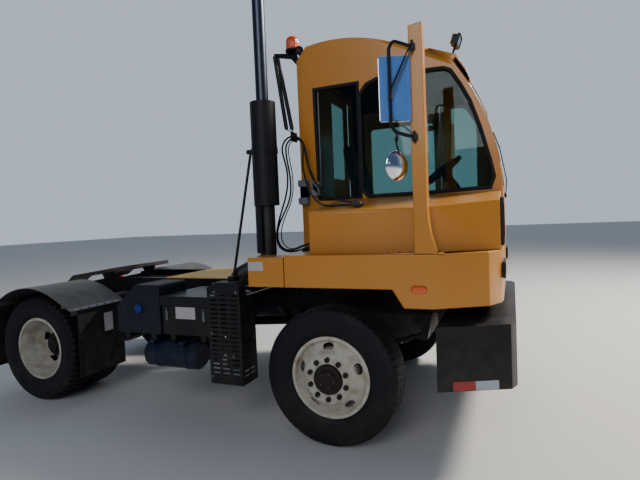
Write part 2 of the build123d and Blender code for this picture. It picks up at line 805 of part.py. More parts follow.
# Stack cowl: the fixed yellow box behind the tilting deck, on a bracket from the rail
deck_top_z = 1400
cowl_gap = 6
cowl_inner_y = 985
cowl_plate = 6
with BuildPart() as stack_cowl:
    with BuildSketch(level(deck_edge_bottom_z)):
        with Locations(((cowl_rear_x + cab_seam_x - cowl_gap) / 2, -(deck_half_width + cowl_inner_y) / 2)):
            Rectangle(cab_seam_x - cowl_gap - cowl_rear_x, deck_half_width - cowl_inner_y)
    extrude(amount=deck_top_z - 12 - deck_edge_bottom_z)
    with BuildSketch(level(deck_edge_bottom_z - 1)):
        with Locations(((cowl_rear_x + cab_seam_x - cowl_gap) / 2, -(deck_half_width + cowl_inner_y) / 2)):
            Rectangle(
                cab_seam_x - cowl_gap - cowl_rear_x - 2 * cowl_plate,
                deck_half_width - cowl_inner_y - 2 * cowl_plate,
            )
    extrude(amount=deck_top_z - 12 - deck_edge_bottom_z - cowl_plate + 1, mode=Mode.SUBTRACT)
    # bracket arms back to the rail
    for arm_x in cowl_arm_xs:
        with BuildSketch(Plane.XZ.offset(cowl_inner_y + 1)):
            with Locations((arm_x, deck_edge_bottom_z + 30)):
                Rectangle(cowl_arm_width, 60)
        extrude(amount=-(cowl_inner_y + 1 - rail_outer_y))
write(stack_cowl, "stack_cowl")

# Exhaust: a canister inside the guard, an S-bend, and the stack rising behind the cab
stack_x = front_axle_x - 600
stack_y = -880
stack_top_z = 3660
lower_pipe_radius = 63
upper_pipe_radius = 50
pipe_wall = 3
canister_x = front_axle_x - 850
canister_y = -985
canister_radius = 115
canister_bottom_z = 470
canister_top_z = 1090
shield_radius = 103
shield_bottom_z = 1783
shield_top_z = 2610
with BuildPart() as exhaust_stack:
    with BuildSketch(level(canister_bottom_z)):
        with Locations((canister_x, canister_y)):
            Circle(canister_radius)
    extrude(amount=canister_top_z - canister_bottom_z)
    chamfer(exhaust_stack.edges().filter_by(GeomType.CIRCLE), length=18)
    with BuildLine() as bend_path:
        FilletPolyline(
            (canister_x, canister_y, canister_top_z - 5),
            (canister_x, canister_y, canister_top_z + 130),
            (stack_x, stack_y, canister_top_z + 260),
            (stack_x, stack_y, shield_bottom_z + 30),
            radius=90,
        )
    with BuildSketch(Plane(origin=(canister_x, canister_y, canister_top_z - 5), z_dir=(0, 0, 1))):
        Circle(lower_pipe_radius)
    sweep(path=bend_path.line)
    with BuildSketch(level(shield_bottom_z + 30)):
        with Locations((stack_x, stack_y)):
            Circle(upper_pipe_radius)
    extrude(amount=stack_top_z - shield_bottom_z - 30)
    with BuildSketch(level(stack_top_z - 400)):
        with Locations((stack_x, stack_y)):
            Circle(upper_pipe_radius - pipe_wall)
    extrude(amount=401, mode=Mode.SUBTRACT)
    # top cut on a slant, open to the rear
    with BuildSketch(side_plane(stack_y + 100)):
        with BuildLine():
            Polyline(
                (stack_x - 60, stack_top_z - 70),
                (stack_x + 60, stack_top_z),
                (stack_x + 60, stack_top_z + 10),
                (stack_x - 60, stack_top_z + 10),
                close=True,
            )
        make_face()
    extrude(amount=200, mode=Mode.SUBTRACT)
write(exhaust_stack, "exhaust_stack")

# Heat shield: a black sleeve on three spacer rings, with a half shell round the pipe below it
with BuildPart() as exhaust_shield:
    with BuildSketch(level(shield_bottom_z)):
        with Locations((stack_x, stack_y)):
            Circle(shield_radius)
            Circle(shield_radius - 4, mode=Mode.SUBTRACT)
    extrude(amount=shield_top_z - shield_bottom_z)
    for ring_z in (shield_bottom_z + 60, (shield_bottom_z + shield_top_z) / 2, shield_top_z - 60):
        with BuildSketch(level(ring_z)):
            with Locations((stack_x, stack_y)):
                Circle(shield_radius - 2)
                Circle(upper_pipe_radius + seat_gap, mode=Mode.SUBTRACT)
        extrude(amount=14)
    with BuildSketch(level(deck_top_z)):
        with Locations((stack_x, stack_y)):
            Circle(shield_radius - 6)
            Circle(shield_radius - 10, mode=Mode.SUBTRACT)
            with Locations((shield_radius, 0)):
                Rectangle(2 * shield_radius, 4 * shield_radius, mode=Mode.SUBTRACT)
    extrude(amount=shield_bottom_z - deck_top_z)
    with BuildSketch(level(shield_bottom_z)):
        with Locations((stack_x, stack_y)):
            Circle(shield_radius)
            Circle(shield_radius - 10, mode=Mode.SUBTRACT)
    extrude(amount=6)
write(exhaust_shield, "exhaust_shield")

# Guard: a louvred sheet box in front of the canister, on two arms from the rail
guard_rear_x = front_axle_x - 1000
guard_front_x = front_axle_x - 700
guard_side_y = -1200
guard_bottom_z = 390
guard_top_z = 1185
guard_sheet = 4
guard_front_depth = 220
slot_length = 66
slot_height = 13
slot_pitch = 36
side_slot_rows = 18
front_slot_rows = 14
with BuildPart() as louvre_guard:
    with BuildSketch(side_plane(guard_side_y + guard_sheet)):
        with BuildLine():
            Polyline(
                (guard_rear_x, guard_bottom_z),
                (guard_front_x, guard_bottom_z),
                (guard_front_x, guard_top_z),
                (guard_rear_x + 50, guard_top_z),
                (guard_rear_x, guard_top_z - 35),
                close=True,
            )
        make_face()
        with Locations(((guard_rear_x + guard_front_x) / 2, guard_bottom_z + 70 + slot_pitch * side_slot_rows / 2)):
            with GridLocations(90, slot_pitch, 3, side_slot_rows):
                Rectangle(slot_length, slot_height, mode=Mode.SUBTRACT)
    extrude(amount=guard_sheet)
    with BuildSketch(cross_plane(guard_front_x - guard_sheet)):
        with BuildLine():
            Polyline(
                (guard_side_y, guard_bottom_z),
                (guard_side_y + guard_front_depth, guard_bottom_z),
                (guard_side_y + guard_front_depth, guard_top_z - 210),
                (guard_side_y + 60, guard_top_z - 60),
                (guard_side_y, guard_top_z),
                close=True,
            )
        make_face()
        with Locations((guard_side_y + guard_front_depth / 2, guard_bottom_z + 50 + slot_pitch * front_slot_rows / 2)):
            with GridLocations(90, slot_pitch, 2, front_slot_rows):
                Rectangle(slot_length, slot_height, mode=Mode.SUBTRACT)
    extrude(amount=guard_sheet)
    # top sheet and the bottom lip
    with BuildSketch(level(guard_top_z - guard_sheet)):
        with Locations(((guard_rear_x + 50 + guard_front_x) / 2, guard_side_y + 70)):
            Rectangle(guard_front_x - guard_rear_x - 50, 140)
    extrude(amount=guard_sheet)
    for arm_x in (guard_rear_x + 14, guard_front_x - 16):
        with BuildSketch(side_plane(-rail_outer_y)):
            with Locations((arm_x, rail_top_z - 60)):
                Rectangle(24, 50)
        extrude(amount=-rail_outer_y - guard_side_y - guard_sheet)
write(louvre_guard, "louvre_guard")

# Stack brace: a band round the shield and a rod down to a bracket on the guard
brace_top = Vector(stack_x - shield_radius - 14, stack_y - 20, 2225)
brace_foot = Vector(front_axle_x - 824, -1075, 1215)
with BuildPart() as stack_brace:
    with BuildSketch(level(brace_top.Z - 22)):
        with Locations((stack_x, stack_y)):
            Circle(shield_radius + 5)
            Circle(shield_radius + seat_gap, mode=Mode.SUBTRACT)
    extrude(amount=44)
    with BuildSketch(level(brace_top.Z - 16)):
        with Locations((brace_top.X - 12, brace_top.Y)):
            Rectangle(44, 30)
    extrude(amount=32)
    with BuildSketch(Plane(origin=brace_top, z_dir=brace_foot - brace_top)):
        Circle(11)
    extrude(amount=(brace_foot - brace_top).length)
    with BuildSketch(level(guard_top_z + seat_gap)):
        with Locations((brace_foot.X, -1140)):
            Rectangle(200, 120)
    extrude(amount=8)
    with BuildSketch(level(guard_top_z + seat_gap)):
        with Locations((brace_foot.X, -1085)):
            Rectangle(60, 60)
    extrude(amount=46)
write(stack_brace, "stack_brace")

# Battery box with its hinged lid, and the shelf arms that carry it
battery_rear_x = front_axle_x - 1500
battery_front_x = front_axle_x - 1030
battery_side_y = -1150
battery_inner_y = -590
battery_bottom_z = 740
battery_rim_z = 1030
battery_wall = 5
lid_skirt = 45
lid_height = 36
box_centre_x = (battery_rear_x + battery_front_x) / 2
box_centre_y = (battery_side_y + battery_inner_y) / 2
box_length = battery_front_x - battery_rear_x
box_depth = battery_inner_y - battery_side_y
with BuildPart() as battery_box:
    with BuildSketch(level(battery_bottom_z)):
        with Locations((box_centre_x, box_centre_y)):
            Rectangle(box_length, box_depth)
    extrude(amount=battery_rim_z - battery_bottom_z)
    with BuildSketch(level(battery_bottom_z + battery_wall)):
        with Locations((box_centre_x, box_centre_y)):
            Rectangle(box_length - 2 * battery_wall, box_depth - 2 * battery_wall)
    extrude(amount=battery_rim_z - battery_bottom_z, mode=Mode.SUBTRACT)
    # two batteries
    with BuildSketch(level(battery_bottom_z + battery_wall)):
        with Locations((box_centre_x, box_centre_y)):
            with GridLocations(0, box_depth / 2, 1, 2):
                Rectangle(330, 175)
    extrude(amount=220)
    for arm_x in (battery_rear_x + 80, battery_front_x - 80):
        with BuildSketch(side_plane(-rail_outer_y)):
            with Locations((arm_x, battery_bottom_z - 25)):
                Rectangle(50, 50)
        extrude(amount=-rail_outer_y - battery_side_y - 20)
        with BuildSketch(side_plane(-rail_outer_y)):
            with Locations((arm_x, (battery_bottom_z - 50 + rail_bottom_z + 120) / 2)):
                Rectangle(50, rail_bottom_z + 120 - battery_bottom_z + 50)
        extrude(amount=8)
write(battery_box, "battery_box")
with BuildPart() as battery_lid:
    with BuildSketch(level(battery_rim_z - lid_skirt)):
        with Locations((box_centre_x, box_centre_y - 6)):
            Rectangle(box_length + 16, box_depth + 12)
    extrude(amount=lid_skirt + lid_height)
    with BuildSketch(level(battery_rim_z - lid_skirt - 1)):
        with Locations((box_centre_x, box_centre_y)):
            Rectangle(box_length + 8, box_depth + 10)
    extrude(amount=lid_skirt + 1 + seat_gap, mode=Mode.SUBTRACT)
write(battery_lid, "battery_lid")

# Reductant tank: a moulded tank with a sloped shoulder and a filler cap, on its own shelf arm
fluid_rear_x = front_axle_x - 2000
fluid_front_x = front_axle_x - 1525
fluid_side_y = -1150
fluid_inner_y = -800
fluid_top_z = 1155
with BuildPart() as fluid_tank:
    with BuildSketch(side_plane(fluid_inner_y)):
        with BuildLine():
            Polyline(
                (fluid_rear_x, 735),
                (fluid_front_x, 735),
                (fluid_front_x, fluid_top_z),
                (fluid_rear_x + 215, fluid_top_z),
                (fluid_rear_x, 970),
                close=True,
            )
        make_face()
    extrude(amount=fluid_inner_y - fluid_side_y)
    fillet(fluid_tank.edges().filter_by(Axis.Y), radius=22)
    with BuildSketch(side_plane(fluid_side_y)):
        with Locations((front_axle_x - 1745, 950)):
            Circle(38)
    extrude(amount=24)
    for arm_x in (fluid_rear_x + 90, fluid_front_x - 90):
        with BuildSketch(side_plane(-rail_outer_y)):
            with Locations((arm_x, 710)):
                Rectangle(50, 50)
        extrude(amount=-rail_outer_y - fluid_side_y - 10)
        with BuildSketch(side_plane(-rail_outer_y)):
            with Locations((arm_x, (685 + rail_bottom_z + 120) / 2)):
                Rectangle(50, rail_bottom_z + 120 - 685)
        extrude(amount=8)
write(fluid_tank, "fluid_tank")

# Air tank low on the right, and the fuel tank on the left with its straps
air_tank_radius = 120
air_tank_ys = (-740, -1010)
air_tank_z = 540
fuel_tank_radius = 260
fuel_tank_y = 850
fuel_tank_z = 700
fuel_tank_rear_x = front_axle_x - 1880
fuel_tank_length = 780
with BuildPart() as tanks:
    for tank_y in air_tank_ys:
        with BuildSketch(cross_plane(front_axle_x - 1770)):
            with Locations((tank_y, air_tank_z)):
                Circle(air_tank_radius)
        extrude(amount=560)
    chamfer(tanks.edges().filter_by(GeomType.CIRCLE), length=28)
    for strap_x in (front_axle_x - 1650, front_axle_x - 1340):
        with BuildSketch(cross_plane(strap_x)):
            with Locations((-790, 672)):
                Rectangle(720, 25)
            with Locations((air_tank_ys[0], air_tank_z), (air_tank_ys[1], air_tank_z)):
                Circle(air_tank_radius + 5)
        extrude(amount=40)
    with BuildSketch(cross_plane(fuel_tank_rear_x)):
        with Locations((fuel_tank_y, fuel_tank_z)):
            Circle(fuel_tank_radius)
    extrude(amount=fuel_tank_length)
    for strap_x in (fuel_tank_rear_x + 120, fuel_tank_rear_x + fuel_tank_length - 180):
        with BuildSketch(cross_plane(strap_x)):
            with Locations((fuel_tank_y, fuel_tank_z)):
                Circle(fuel_tank_radius + 5)
            with BuildLine():
                Polyline(
                    (rail_outer_y, rail_top_z - 20),
                    (rail_outer_y + 60, rail_top_z - 20),
                    (fuel_tank_y - 120, fuel_tank_z - fuel_tank_radius + 30),
                    (fuel_tank_y - 180, fuel_tank_z - fuel_tank_radius + 10),
                    (rail_outer_y, fuel_tank_z),
                    close=True,
                )
            make_face()
        extrude(amount=60)
write(tanks, "tanks")

# Rear fenders: one curved sheet over each pair of twin wheels, on bars from the rail
fender_inner_y = 600
fender_outer_y = 1240
fender_sheet = 5
fender_crown = 605
fender_end = (575, 398)
fender_bend = (330, 528)
bar_x = 450


def fender_outline(drop):
    """Side profile of the fender; drop lowers it by the thickness of the sheet."""
    with BuildLine() as profile:
        Line(
            (rear_axle_x - fender_end[0], axle_z + fender_end[1] - drop),
            (rear_axle_x - fender_bend[0], axle_z + fender_bend[1] - drop),
        )
        ThreePointArc(
            (rear_axle_x - fender_bend[0], axle_z + fender_bend[1] - drop),
            (rear_axle_x, axle_z + fender_crown - drop),
            (rear_axle_x + fender_bend[0], axle_z + fender_bend[1] - drop),
        )
        Line(
            (rear_axle_x + fender_bend[0], axle_z + fender_bend[1] - drop),
            (rear_axle_x + fender_end[0], axle_z + fender_end[1] - drop),
        )
    return profile.line


with BuildPart() as rear_fenders:
    for side in (-1, 1):
        near_y = max(side * fender_inner_y, side * fender_outer_y)
        with BuildSketch(side_plane(near_y)):
            with BuildLine():
                add(fender_outline(0))
                Line(
                    (rear_axle_x + fender_end[0], axle_z + fender_end[1]),
                    (rear_axle_x + fender_end[0], axle_z + fender_end[1] - fender_sheet),
                )
                add(fender_outline(fender_sheet))
                Line(
                    (rear_axle_x - fender_end[0], axle_z + fender_end[1] - fender_sheet),
                    (rear_axle_x - fender_end[0], axle_z + fender_end[1]),
                )
            make_face()
        extrude(amount=fender_outer_y - fender_inner_y)
        for end in (-1, 1):
            # folded lip
            with BuildSketch(side_plane(near_y)):
                with Locations((rear_axle_x + end * (fender_end[0] + 2.5), axle_z + fender_end[1] - 20)):
                    Rectangle(5, 40)
            extrude(amount=fender_outer_y - fender_inner_y)
            # carrier bar under the sheet
            slope = (fender_bend[1] - fender_end[1]) / (fender_end[0] - fender_bend[0])
            under = axle_z + fender_end[1] + (fender_end[0] - bar_x) * slope - fender_sheet
            bar_outer = max(side * rail_outer_y, side * (fender_outer_y - 20))
            with BuildSketch(side_plane(bar_outer)):
                with BuildLine():
                    Polyline(
                        (rear_axle_x + end * (bar_x - 20), under + 20 * slope),
                        (rear_axle_x + end * (bar_x + 20), under - 20 * slope),
                        (rear_axle_x + end * (bar_x + 20), under - 40),
                        (rear_axle_x + end * (bar_x - 20), under - 40),
                        close=True,
                    )
                make_face()
            extrude(amount=fender_outer_y - 20 - rail_outer_y)
write(rear_fenders, "rear_fenders")

# Mud flaps: rubber sheets before and behind the rear wheels, the rear pair on a hanger bar
flap_bottom_z = 280
flap_half_width = 265
flap_thickness = 8
hanger_z = 842
rear_flap_x = rear_axle_x - 640
with BuildPart() as mud_flaps:
    for side in (-1, 1):
        flap_y = side * 915
        with BuildSketch(cross_plane(rear_axle_x + fender_end[0] + 5 + seat_gap)):
            with Locations((flap_y, (flap_bottom_z + axle_z + fender_end[1]) / 2)):
                Rectangle(2 * flap_half_width, axle_z + fender_end[1] - flap_bottom_z)
        extrude(amount=flap_thickness)
        with BuildSketch(cross_plane(rear_flap_x)):
            with Locations((flap_y, (flap_bottom_z + hanger_z + 30) / 2)):
                Rectangle(2 * flap_half_width, hanger_z + 30 - flap_bottom_z)
        extrude(amount=-flap_thickness)
        # hanger bar from the rail
        with BuildSketch(side_plane(max(side * rail_outer_y, side * 1190))):
            with Locations((rear_flap_x + 22.5, hanger_z)):
                Rectangle(45, 90)
        extrude(amount=1190 - rail_outer_y)
write(mud_flaps, "mud_flaps")

# Deck plate: the yellow walkway on top of the rails behind the cab
deck_plate_rear_x = front_axle_x - 2080
deck_plate_front_x = front_axle_x - 625
with BuildPart() as deck_plate:
    with BuildSketch(level(rail_top_z)):
        with Locations(((deck_plate_rear_x + deck_plate_front_x) / 2, 0)):
            Rectangle(deck_plate_front_x - deck_plate_rear_x, 2 * rail_outer_y)
    extrude(amount=8)
write(deck_plate, "deck_plate")

# Tail lamps on a bar across the frame's end
lamp_bar_half = 760
tail_lamp_z = 925
with BuildPart() as tail_lamps:
    for side in (-1, 1):
        with BuildSketch(cross_plane(frame_rear_x + 20)):
            with Locations((side * (rail_outer_y + lamp_bar_half) / 2, tail_lamp_z)):
                Rectangle(lamp_bar_half - rail_outer_y, 140)
        extrude(amount=6)
        with BuildSketch(cross_plane(frame_rear_x + 20)):
            with Locations((side * 530, tail_lamp_z), (side * 660, tail_lamp_z)):
                Circle(52)
        extrude(amount=-18)
        with BuildSketch(cross_plane(frame_rear_x + 26)):
            with Locations((side * 530, tail_lamp_z), (side * 660, tail_lamp_z)):
                Circle(46)
        extrude(amount=24)
write(tail_lamps, "tail_lamps")

# Steps up to the rear platform on the left
step_rear_x = front_axle_x - 1060
step_front_x = front_axle_x - 640
step_side = 10
step_outer_y = deck_half_width - 20
# columns: tread height, tread's inner Y
treads = [(430, 900), (720, 900), (1010, 900)]
with BuildPart() as cab_steps:
    for cheek_x in (step_rear_x, step_front_x - step_side):
        with BuildSketch(cross_plane(cheek_x)):
            with BuildLine():
                Polyline(
                    (step_outer_y, 400),
                    (step_outer_y, rail_top_z - 35),
                    (860, rail_top_z),
                    (rail_outer_y, rail_top_z),
                    (rail_outer_y, 960),
                    (880, 860),
                    (880, 400),
                    close=True,
                )
            make_face()
        extrude(amount=step_side)
    for tread_z, inner_y in treads:
        with BuildSketch(level(tread_z)):
            with Locations(((step_rear_x + step_front_x) / 2, (inner_y + step_outer_y) / 2)):
                Rectangle(step_front_x - step_rear_x, step_outer_y - inner_y)
        extrude(amount=30)
    with BuildSketch(level(rail_top_z)):
        with Locations(((step_rear_x + step_front_x) / 2, (rail_outer_y + 1100) / 2)):
            Rectangle(step_front_x - step_rear_x, 1100 - rail_outer_y)
    extrude(amount=8)
write(cab_steps, "cab_steps")

# Fifth-wheel boom: two arms on a cross tube, hinged between the rails
trunnion_x = front_axle_x - 2980
trunnion_z = 1065
boom_arm_y = 250
boom_arm_width = 90
boom_tube_radius = 45
rod_eye_x = boom_pivot_x - 720
rod_eye_z = 930
rod_pin_radius = 15
with BuildPart() as lift_boom:
    with BuildSketch(Plane.XZ.offset(-(rail_inner_y - 6))):
        with Locations((boom_pivot_x, boom_pivot_z)):
            Circle(boom_tube_radius)
    extrude(amount=2 * (rail_inner_y - 6))
    with BuildSketch(Plane.XZ.offset(-(rail_outer_y + 10))):
        with Locations((boom_pivot_x, boom_pivot_z)):
            Circle(boom_pin_radius - 0.1)
    extrude(amount=2 * (rail_outer_y + 10))
    for side in (-1, 1):
        with BuildSketch(side_plane(side * boom_arm_y + boom_arm_width / 2)):
            with BuildLine():
                Polyline(
                    (boom_pivot_x + 50, boom_pivot_z - 50),
                    (boom_pivot_x + 50, boom_pivot_z + 50),
                    (boom_pivot_x - 90, 1045),
                    (trunnion_x + 60, 1045),
                    (trunnion_x + 45, trunnion_z + 40),
                    (trunnion_x - 45, trunnion_z + 40),
                    (trunnion_x - 80, 1000),
                    (trunnion_x - 80, 925),
                    (boom_pivot_x - 150, 965),
                    (boom_pivot_x - 80, 900),
                    close=True,
                )
            make_face()
            with Locations((trunnion_x, trunnion_z)):
                Circle(24, mode=Mode.SUBTRACT)
        extrude(amount=boom_arm_width)
    # cross box between the arms at the rear, with lugs for the rod eyes
    with BuildSketch(level(945)):
        with Locations((rod_eye_x - 120, 0)):
            Rectangle(150, 2 * boom_arm_y)
    extrude(amount=95)
    for side in (-1, 1):
        for lug_y in (cylinder_y - 40, cylinder_y + 40):
            with BuildSketch(side_plane(side * lug_y + 7)):
                with BuildLine():
                    Polyline(
                        (rod_eye_x - 60, 1000),
                        (rod_eye_x + 45, 1000),
                        (rod_eye_x + 40, rod_eye_z - 20),
                        (rod_eye_x, rod_eye_z - 45),
                        (rod_eye_x - 40, rod_eye_z - 20),
                        close=True,
                    )
                make_face()
            extrude(amount=14)
        with BuildSketch(level(990)):
            with Locations((rod_eye_x, side * cylinder_y)):
                Rectangle(110, 110)
        extrude(amount=40)
write(lift_boom, "lift_boom")

# Fifth wheel: a tilting top plate with a throat, ramps and two trunnion ears
plate_tilt = 8
plate_half = 455
plate_front = 360
plate_rear = 400
ramp_length = 110
plate_drop = 36
tilt_plane = Plane(
    origin=(trunnion_x, 0, trunnion_z),
    x_dir=(cos(radians(plate_tilt)), 0, sin(radians(plate_tilt))),
    z_dir=(-sin(radians(plate_tilt)), 0, cos(radians(plate_tilt))),
)
kingpin_slot_radius = 26
with BuildPart() as fifth_wheel:
    with BuildSketch(tilt_plane.offset(125 - plate_drop)):
        with BuildLine():
            Polyline(
                (-plate_rear, -plate_half),
                (plate_front - 170, -plate_half),
                (plate_front, -plate_half + 190),
                (plate_front, plate_half - 190),
                (plate_front - 170, plate_half),
                (-plate_rear, plate_half),
                (-plate_rear, 200),
                (-60, kingpin_slot_radius),
                (-60, -kingpin_slot_radius),
                (-plate_rear, -200),
                close=True,
            )
        make_face()
        with Locations((-40, 0)):
            Rectangle(80, 2 * kingpin_slot_radius, mode=Mode.SUBTRACT)
        Circle(kingpin_slot_radius, mode=Mode.SUBTRACT)
    extrude(amount=plate_drop)
    # ramps bent down behind the plate
    for side in (-1, 1):
        with BuildSketch(Plane(origin=tilt_plane.from_local_coords((0, side * 200, 0)), x_dir=tilt_plane.x_dir,
                               z_dir=(0, -1, 0))):
            with BuildLine():
                Polyline(
                    (-plate_rear + 1, 125),
                    (-plate_rear + 1, 125 - plate_drop),
                    (-plate_rear - ramp_length, 125 - plate_drop - 50),
                    (-plate_rear - ramp_length, 125 - plate_drop - 30),
                    close=True,
                )
            make_face()
        extrude(amount=-side * (plate_half - 200))
    # trunnion ears outside the boom's arms, with the pins
    for side in (-1, 1):
        ear_inner = boom_arm_y + boom_arm_width / 2 + 6
        with BuildSketch(Plane(origin=tilt_plane.from_local_coords((0, side * ear_inner, 0)), x_dir=tilt_plane.x_dir,
                               z_dir=(0, -1, 0))):
            with BuildLine():
                Polyline(
                    (-95, 125 - plate_drop),
                    (95, 125 - plate_drop),
                    (36, -36),
                    (-36, -36),
                    close=True,
                )
            make_face()
        extrude(amount=-side * 24)
        with BuildSketch(Plane(origin=tilt_plane.from_local_coords((0, side * (boom_arm_y - 45), 0)),
                               x_dir=tilt_plane.x_dir, z_dir=(0, -1, 0))):
            Circle(23.9)
        extrude(amount=-side * (ear_inner - boom_arm_y + 45 + 12))
write(fifth_wheel, "fifth_wheel")


def cylinder_frame(base, tip, y):
    """Plane at a cylinder's base with its normal along the rod."""
    return Plane(origin=(base[0], y, base[1]), z_dir=(tip[0] - base[0], 0, tip[1] - base[1]))


# Lift cylinders: barrels hinged on the frame, rods reaching to the boom's lugs
lift_base = (cylinder_base_x, cylinder_base_z)
lift_tip = (rod_eye_x, rod_eye_z)
lift_length = hypot(lift_tip[0] - lift_base[0], lift_tip[1] - lift_base[1])
with BuildPart() as lift_barrels:
    for side in (-1, 1):
        with BuildSketch(cylinder_frame(lift_base, lift_tip, side * cylinder_y)):
            Circle(38)
        extrude(amount=lift_length - 110)
        with BuildSketch(cylinder_frame(lift_base, lift_tip, side * cylinder_y).offset(60)):
            Circle(20.3)
        extrude(amount=lift_length, mode=Mode.SUBTRACT)
        with BuildSketch(side_plane(side * cylinder_y + 32)):
            with Locations(lift_base):
                Circle(44)
        extrude(amount=64)
        with BuildSketch(side_plane(side * cylinder_y + 62)):
            with Locations(lift_base):
                Circle(cylinder_pin_radius - 0.1)
        extrude(amount=124)
write(lift_barrels, "lift_barrels")
with BuildPart() as lift_rods:
    for side in (-1, 1):
        with BuildSketch(cylinder_frame(lift_base, lift_tip, side * cylinder_y).offset(80)):
            Circle(20)
        extrude(amount=lift_length - 80)
        with BuildSketch(side_plane(side * cylinder_y + 26)):
            with Locations(lift_tip):
                Circle(32)
        extrude(amount=52)
write(lift_rods, "lift_rods")

# Cab shell: hollow, with 40 mm walls; the roof cap above the mask line is its own piece
cab_right_y = -360
cab_left_y = 1100
cab_rear_x = front_axle_x - 525
cab_wall = 40
cab_front_x = front_axle_x + 1178
door_rear_x = front_axle_x - 330
door_front_x = front_axle_x + 530
door_bottom_z = 1420
door_top_z = 2850
rear_door_low_y = 400
rear_door_high_y = 1020
rear_door_top_z = 2980
rear_door_travel = 600
door_hinge_x = front_axle_x + 530
door_hinge_y = cab_left_y + 12
door_hinge_heights = (1620, 2620)
door_ring_radius = 11.5
door_pin_radius = 6
screen_low_y = -280
screen_high_y = 850
screen_bottom_z = 1870
screen_top_z = 2790


def cab_profile():
    """Side outline of the cab."""
    with BuildSketch(Plane.XZ) as section:
        with BuildLine():
            Polyline(
                (cab_front_x, deck_top_z),
                (cab_rear_x, deck_top_z),
                (cab_rear_x, 3080),
                (front_axle_x - 430, 3195),
            )
            ThreePointArc((front_axle_x - 430, 3195), (front_axle_x - 200, 3213), (front_axle_x + 250, 3135))
            Polyline(
                (front_axle_x + 250, 3135),
                (front_axle_x + 655, 2988),
                (front_axle_x + 830, 2862),
            )
            ThreePointArc((front_axle_x + 830, 2862), (front_axle_x + 1062, 2432), (cab_front_x, 1820))
            Line((cab_front_x, 1820), (cab_front_x, deck_top_z))
        make_face()
    return section.sketch


def corner_cut(setback):
    """Plan of the cut that takes off the cab's left front corner, moved inwards by setback."""
    with BuildSketch(level(deck_top_z - 10)) as section:
        with BuildLine():
            Polyline(
                (front_axle_x + 950 - 1.41 * setback, cab_left_y + 60),
                (front_axle_x + 950 - 1.41 * setback, cab_left_y),
                (cab_front_x - 1.41 * setback, 870),
                (cab_front_x + 60, 870),
                (cab_front_x + 60, cab_left_y + 60),
                close=True,
            )
        make_face()
    return section.sketch


def cab_void():
    """The space inside the cab."""
    with BuildPart() as void:
        with BuildSketch(Plane.XZ.offset(-cab_left_y + cab_wall)):
            add(cab_profile())
            offset(amount=-cab_wall, kind=Kind.INTERSECTION, mode=Mode.REPLACE)
        extrude(amount=cab_left_y - cab_right_y - 2 * cab_wall)
        with BuildSketch(level(deck_top_z - 1)):
            with Locations(((cab_rear_x + cab_front_x) / 2, (cab_left_y + cab_right_y) / 2)):
                Rectangle(cab_front_x - cab_rear_x - 2 * cab_wall, cab_left_y - cab_right_y - 2 * cab_wall)
        extrude(amount=cab_wall + 2)
        extrude(corner_cut(cab_wall), amount=2000, mode=Mode.SUBTRACT)
    return void.part


def cab_box():
    """The whole cab as one hollow box, open below."""
    with BuildPart() as box:
        with BuildSketch(Plane.XZ.offset(-cab_left_y)):
            add(cab_profile())
        extrude(amount=cab_left_y - cab_right_y)
        extrude(corner_cut(0), amount=2000, mode=Mode.SUBTRACT)
        add(cab_void(), mode=Mode.SUBTRACT)
    return box.part


def roof_region():
    """The block of space above the line where roof and walls are joined."""
    with BuildPart() as region:
        with BuildSketch(Plane.XZ.offset(-cab_left_y - 10)):
            with BuildLine():
                Polyline(
                    (cab_rear_x - 75, 3040),
                    (front_axle_x + 300, 3040),
                    (front_axle_x + 700, 2850),
                    (front_axle_x + 1000, 2850),
                    (front_axle_x + 1000, 3300),
                    (cab_rear_x - 75, 3300),
                    close=True,
                )
            make_face()
        extrude(amount=cab_left_y - cab_right_y + 20)
    return region.part


def rear_window():
    """Outline of the sliding window in the right wall."""
    with BuildSketch(Plane.XZ) as section:
        with BuildLine():
            Polyline(
                (front_axle_x - 362, 2803),
                (front_axle_x + 39, 2804),
                (front_axle_x + 37, 1823),
                (front_axle_x - 347, 1836),
                close=True,
            )
        make_face()
    return section.sketch


def front_window(rear_x):
    """Outline of the fixed window under the windscreen pillar, from a given rear edge."""
    with BuildSketch(Plane.XZ) as section:
        with BuildLine():
            Polyline(
                (rear_x, 2700),
                (rear_x + 60, 2780),
                (rear_x + 160, 2815),
                (front_axle_x + 631, 2819),
                (front_axle_x + 757, 2814),
                (front_axle_x + 810, 2790),
                (front_axle_x + 883, 2670),
                (front_axle_x + 954, 2528),
                (front_axle_x + 1023, 2319),
                (front_axle_x + 1090, 2058),
                (front_axle_x + 1116, 1932),
                (front_axle_x + 1085, 1850),
                (front_axle_x + 641, 1838),
                (rear_x + 50, 1836),
                (rear_x, 1891),
                close=True,
            )
        make_face()
    return section.sketch


quarter_rear_x = front_axle_x + 630


def quarter_window():
    """Outline of the short fixed window ahead of the left door."""
    with BuildSketch(Plane.XZ) as section:
        add(front_window(front_axle_x + 56))
        with Locations((quarter_rear_x - 500, 2300), (front_axle_x + 915 + 500, 2300)):
            Rectangle(1000, 2000, mode=Mode.SUBTRACT)
    return section.sketch


